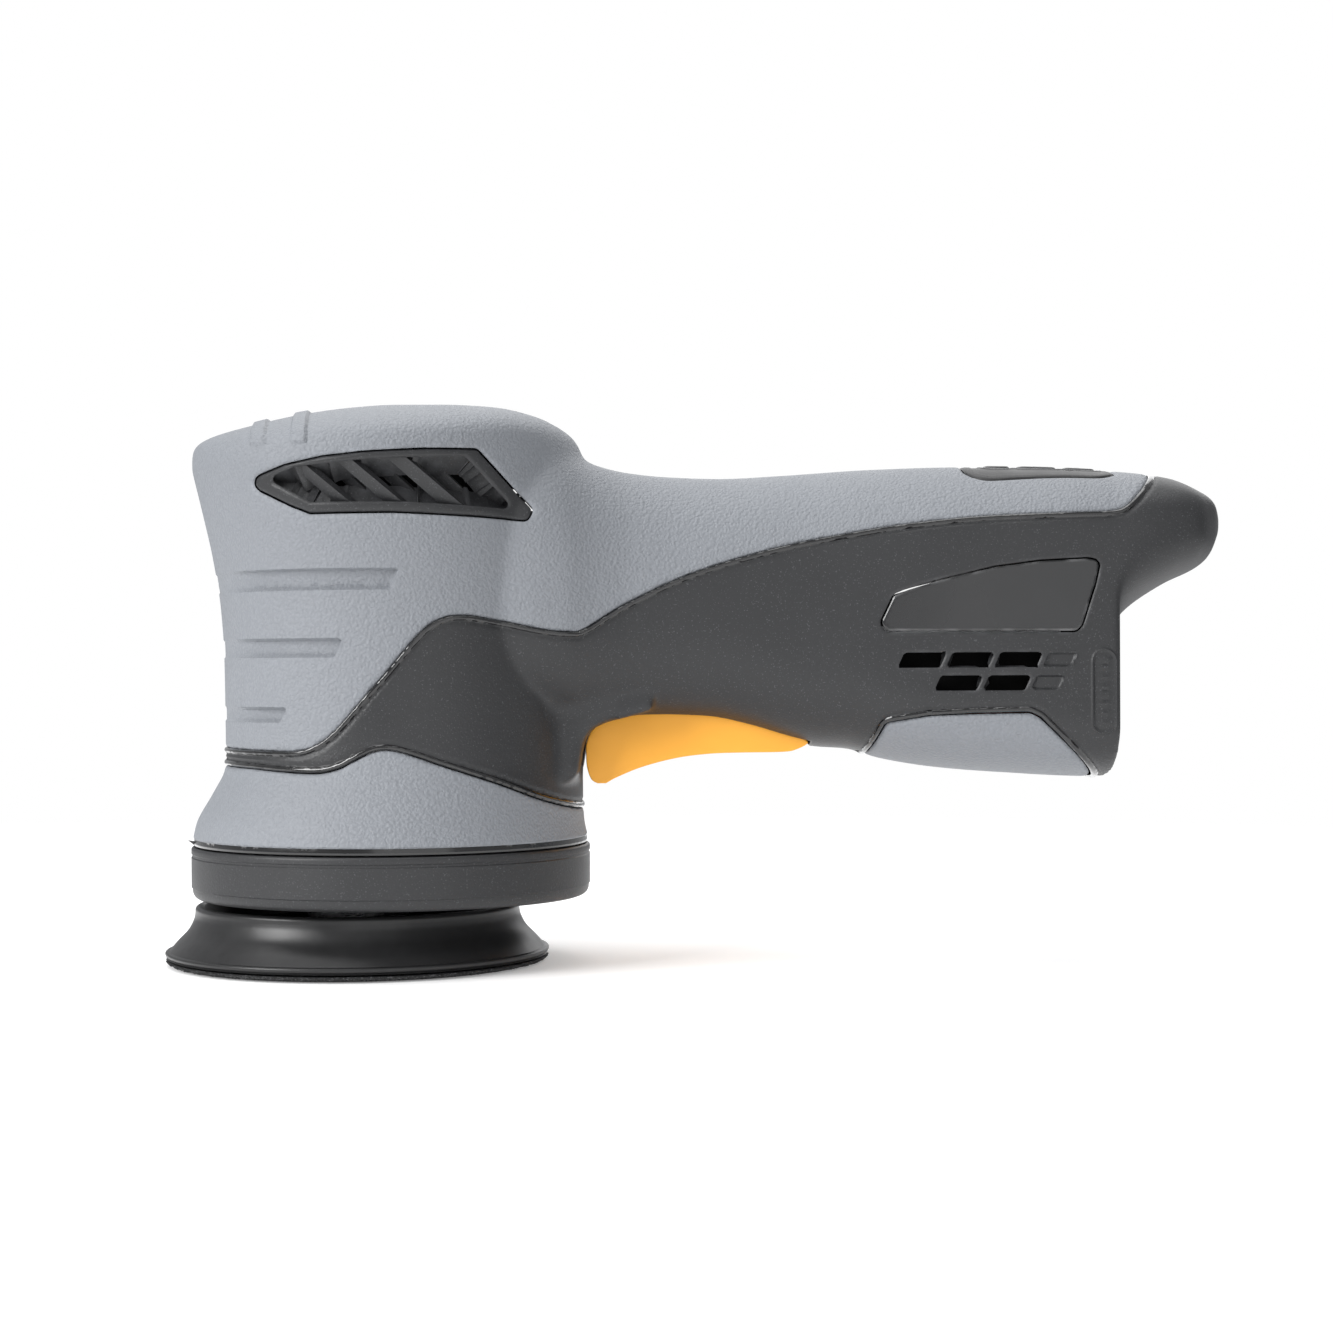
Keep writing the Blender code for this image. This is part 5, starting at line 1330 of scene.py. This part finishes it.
def inner_finishes():
    """Finishes of the CAD nodes that are carried over, by the start of their names."""
    metal = dict(metallic=1.0, fine=0.004)
    inner = finish("inner_plastic", (0.035, 0.036, 0.038), (0.05, 0.05, 0.052), (0.45, 0.6),
                   fine=0.012)
    laminated = finish("lamination", (0.22, 0.22, 0.235), (0.3, 0.3, 0.31), (0.35, 0.5),
                       stretch=(0.05, 0.05, 12), **metal)
    aluminium = finish("aluminium", (0.68, 0.69, 0.7), (0.58, 0.59, 0.6), (0.28, 0.42), **metal)
    board = finish("board", (0.015, 0.12, 0.05), (0.02, 0.17, 0.075), (0.3, 0.45), fine=0.006,
                   speckle=(1.1, 0.62, (0.5, 0.42, 0.2)))
    leads = finish("lead_cover", (0.4, 0.02, 0.015), (0.5, 0.035, 0.02), (0.35, 0.5), fine=0.01)
    return {
        "motor_shaft": steel(), "motor_bearing": steel(), "spindle_bearing": steel(),
        "pad_hub": steel(), "pad_spindle": steel(), "trigger_pin": steel(),
        "trigger_spring": steel(), "housing_screw": steel(),
        "rotor_core": laminated, "stator_core": laminated,
        "rotor_magnets": finish("magnet", (0.1, 0.1, 0.11), (0.15, 0.15, 0.16), (0.25, 0.4),
                                **metal),
        "eccentric_weight": finish("counterweight", (0.26, 0.26, 0.28), (0.34, 0.34, 0.35),
                                   (0.35, 0.5), grain=0.02, **metal),
        "motor_bracket": aluminium, "motor_can": aluminium, "bearing_holder": aluminium,
        "controller_tray": aluminium,
        "windings": finish("copper", (0.7, 0.3, 0.12), (0.55, 0.22, 0.08), (0.28, 0.42),
                           grain=0.15, grain_size=1.2, stretch=(1, 1, 5), **metal),
        "terminal_blade": finish("brass", (0.72, 0.52, 0.2), (0.62, 0.44, 0.16), (0.22, 0.36),
                                 **metal),
        "cooling_fan": inner, "switch_body": inner,
        "switch_plunger": finish("plunger_plastic", (0.55, 0.55, 0.53), (0.62, 0.62, 0.6),
                                 (0.4, 0.5), fine=0.01),
        "controller_board": board, "display_board": board,
        "motor_lead": leads, "battery_lead": leads,
    }


# ---------------------------------------------------------------- operators

def both_sides(name, bm, finishes, node_name):
    """A piece for the near side, and its mirror image for the far side."""
    far = bm.copy()
    finished(f"{name}_left", bm, finishes, "tool", [f"{node_name}_left"])
    finished(f"{name}_right", mirror_bm(far), finishes, "tool", [f"{node_name}_right"])


class SANDER_OT_grip(bpy.types.Operator):
    """Build the soft grip's two halves, with finger grooves and raised chevrons"""
    bl_idname = "sander.grip"
    bl_label = "Soft Grip"

    def execute(self, context):
        both_sides("soft_grip", grip_bm(), [soft_grip()], "grip_skin")
        return {"FINISHED"}


class SANDER_OT_collar(bpy.types.Operator):
    """Build the soft collar round the foot of the head"""
    bl_idname = "sander.collar"
    bl_label = "Soft Collar"

    def execute(self, context):
        both_sides("soft_collar", collar_bm(), [soft_grip(), gloss_trim()], "collar_skin")
        return {"FINISHED"}


class SANDER_OT_patches(bpy.types.Operator):
    """Build the soft heel patches and the plain label plates"""
    bl_idname = "sander.patches"
    bl_label = "Heel Patches and Plates"

    def execute(self, context):
        both_sides("heel_patch", patch_bm(HEEL, 0.9, 0.45), [soft_grip()], "heel_skin")
        both_sides("label_plate", patch_bm(BADGE, 0.5, 0.2, -0.12), [badge_finish()], "badge")
        return {"FINISHED"}


class SANDER_OT_shell(bpy.types.Operator):
    """Build the two halves of the hard shell, with their beads, slots and windows"""
    bl_idname = "sander.shell"
    bl_label = "Hard Shell"

    def execute(self, context):
        for side, make in (("left", lambda bm: bm), ("right", mirror_bm)):
            finished(f"hard_shell_{side}", make(shell_bm(side)),
                     [hard_shell(), gloss_trim(), painted_shade_inside()],
                     "tool", [f"housing_{side}"])
        return {"FINISHED"}


class SANDER_OT_grilles(bpy.types.Operator):
    """Build the louvred vent on each side of the head"""
    bl_idname = "sander.grilles"
    bl_label = "Vent Grilles"

    def execute(self, context):
        both_sides("louvred_vent", grille_bm(), [hard_shell(), painted_shade_inside()], "vent_grille")
        return {"FINISHED"}


class SANDER_OT_controls(bpy.types.Operator):
    """Build the control panel, its three buttons and the trigger"""
    bl_idname = "sander.controls"
    bl_label = "Controls"

    def execute(self, context):
        finished("top_panel", panel_bm(), [panel_trim(), light_line()], "tool",
                 ["control_panel"])
        for number in range(len(BUTTON_PLANS)):
            finished(f"push_button_{number + 1}", button_bm(number),
                     [button_rubber(), light_line()], f"button_{number + 1}",
                     [f"button_{number + 1}"])
        finished("finger_trigger", trigger_bm(), [trigger_plastic()], "trigger", ["trigger"])
        return {"FINISHED"}


class SANDER_OT_pad(bpy.types.Operator):
    """Build the shroud, the pad's rubber and its hook face"""
    bl_idname = "sander.pad"
    bl_label = "Shroud and Pad"

    def execute(self, context):
        finished("pad_shroud", shroud_bm(), [hard_shell(), gloss_trim()], "tool", ["shroud"])
        finished("rubber_pad", pad_bm(), [pad_rubber()], "pad", ["pad_body"])
        finished("hook_disc", hook_bm(), [hook_cloth()], "pad", ["hook_face"])
        return {"FINISHED"}


class SANDER_OT_dock(bpy.types.Operator):
    """Build the battery face"""
    bl_idname = "sander.dock"
    bl_label = "Battery Face"

    def execute(self, context):
        finished("battery_face", dock_bm(), [hard_shell()], "tool", ["battery_dock"])
        return {"FINISHED"}


class SANDER_OT_inner(bpy.types.Operator):
    """Give every carried-over CAD part its procedural finish"""
    bl_idname = "sander.inner"
    bl_label = "Inner Parts"

    def execute(self, context):
        finishes = inner_finishes()
        for name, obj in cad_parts.items():
            if obj.hide_render:
                continue
            found = [made for start, made in finishes.items() if name.startswith(start)]
            if not found:
                raise RuntimeError(f"{name} has no finish")
            obj.data.materials.clear()
            obj.data.materials.append(found[0])
        return {"FINISHED"}


FLOOR_HALF = 6.0
LIT_POINT = Vector((0.065, 0, 0.06))       # every light is aimed here
ROOM_COLOUR, ROOM_STRENGTH = (0.97, 0.98, 1, 1), 0.42
# name, place and width in metres, power in watts
LIGHTS = (("key", (-0.72, -0.55, 0.5), 0.5, 8.6), ("fill", (0.3, -0.9, 0.3), 0.8, 1.5),
          ("top", (-0.05, 0.1, 0.95), 0.9, 6.4), ("back", (0.2, 0.8, 0.5), 0.8, 2.5))
CAMERA_PLACE, CAMERA_LENS, CAMERA_SENSOR, CAMERA_ROLL = (0.0618, -0.51, 0.0585), 68.9, 36.0, 0.3


class SANDER_OT_stage(bpy.types.Operator):
    """Set up the pale floor, the studio light and the camera"""
    bl_idname = "sander.stage"
    bl_label = "Stage"

    def execute(self, context):
        scene = context.scene
        scene.view_settings.view_transform = "Standard"
        bm = bmesh.new()
        bmesh.ops.create_grid(bm, x_segments=1, y_segments=1, size=FLOOR_HALF)
        mesh = bpy.data.meshes.new("floor")
        bm.to_mesh(mesh)
        bm.free()
        floor = bpy.data.objects.new("floor", mesh)
        scene.collection.objects.link(floor)
        mesh.materials.append(floor_paper())
        world = bpy.data.worlds.new("studio")
        scene.world = world
        world.use_nodes = True
        tree = world.node_tree
        soft = tree.nodes["Background"]
        soft.inputs["Color"].default_value = ROOM_COLOUR
        soft.inputs["Strength"].default_value = ROOM_STRENGTH
        seen = node(tree, "ShaderNodeBackground", Color=(1, 1, 1, 1))
        choose = node(tree, "ShaderNodeMixShader")
        path = node(tree, "ShaderNodeLightPath")
        tree.links.new(path.outputs["Is Camera Ray"], choose.inputs[0])
        tree.links.new(soft.outputs[0], choose.inputs[1])
        tree.links.new(seen.outputs[0], choose.inputs[2])
        tree.links.new(choose.outputs[0], tree.nodes["World Output"].inputs[0])
        for name, spot, size, power in LIGHTS:
            data = bpy.data.lights.new(name, "AREA")
            data.size = size
            data.energy = power
            lamp = bpy.data.objects.new(name, data)
            lamp.location = spot
            lamp.rotation_mode = "QUATERNION"
            lamp.rotation_quaternion = (LIT_POINT - Vector(spot)).to_track_quat("-Z", "Y")
            scene.collection.objects.link(lamp)
        data = bpy.data.cameras.new("camera")
        data.lens = CAMERA_LENS
        data.sensor_width = CAMERA_SENSOR
        camera = bpy.data.objects.new("camera", data)
        camera.location = CAMERA_PLACE
        camera.rotation_euler = (math.radians(90), math.radians(CAMERA_ROLL), 0)
        scene.collection.objects.link(camera)
        scene.camera = camera
        return {"FINISHED"}


class SANDER_PT_panel(bpy.types.Panel):
    bl_label = "Orbital Sander"
    bl_idname = "SANDER_PT_panel"
    bl_space_type = "VIEW_3D"
    bl_region_type = "UI"
    bl_category = "Sander"

    def draw(self, context):
        column = self.layout.column()
        for group in (context.scene.sander_sizes, context.scene.sander_colours):
            for key in group.__annotations__:
                column.prop(group, key)
        for operator in OPERATORS:
            column.operator(operator.bl_idname)


OPERATORS = (SANDER_OT_grip, SANDER_OT_collar, SANDER_OT_patches, SANDER_OT_shell,
             SANDER_OT_grilles, SANDER_OT_controls, SANDER_OT_pad, SANDER_OT_dock,
             SANDER_OT_inner, SANDER_OT_stage)
CLASSES = (SanderSizes, SanderColours) + OPERATORS + (SANDER_PT_panel,)


def register():
    for cls in CLASSES:
        bpy.utils.register_class(cls)
    bpy.types.Scene.sander_sizes = PointerProperty(type=SanderSizes)
    bpy.types.Scene.sander_colours = PointerProperty(type=SanderColours)


def unregister():
    del bpy.types.Scene.sander_colours
    del bpy.types.Scene.sander_sizes
    for cls in reversed(CLASSES):
        bpy.utils.unregister_class(cls)


def main():
    register()
    bpy.ops.sander.grip()
    bpy.ops.sander.collar()
    bpy.ops.sander.patches()
    bpy.ops.sander.shell()
    bpy.ops.sander.grilles()
    bpy.ops.sander.controls()
    bpy.ops.sander.pad()
    bpy.ops.sander.dock()
    bpy.ops.sander.inner()
    bpy.ops.sander.stage()


if __name__ == "__main__":
    main()
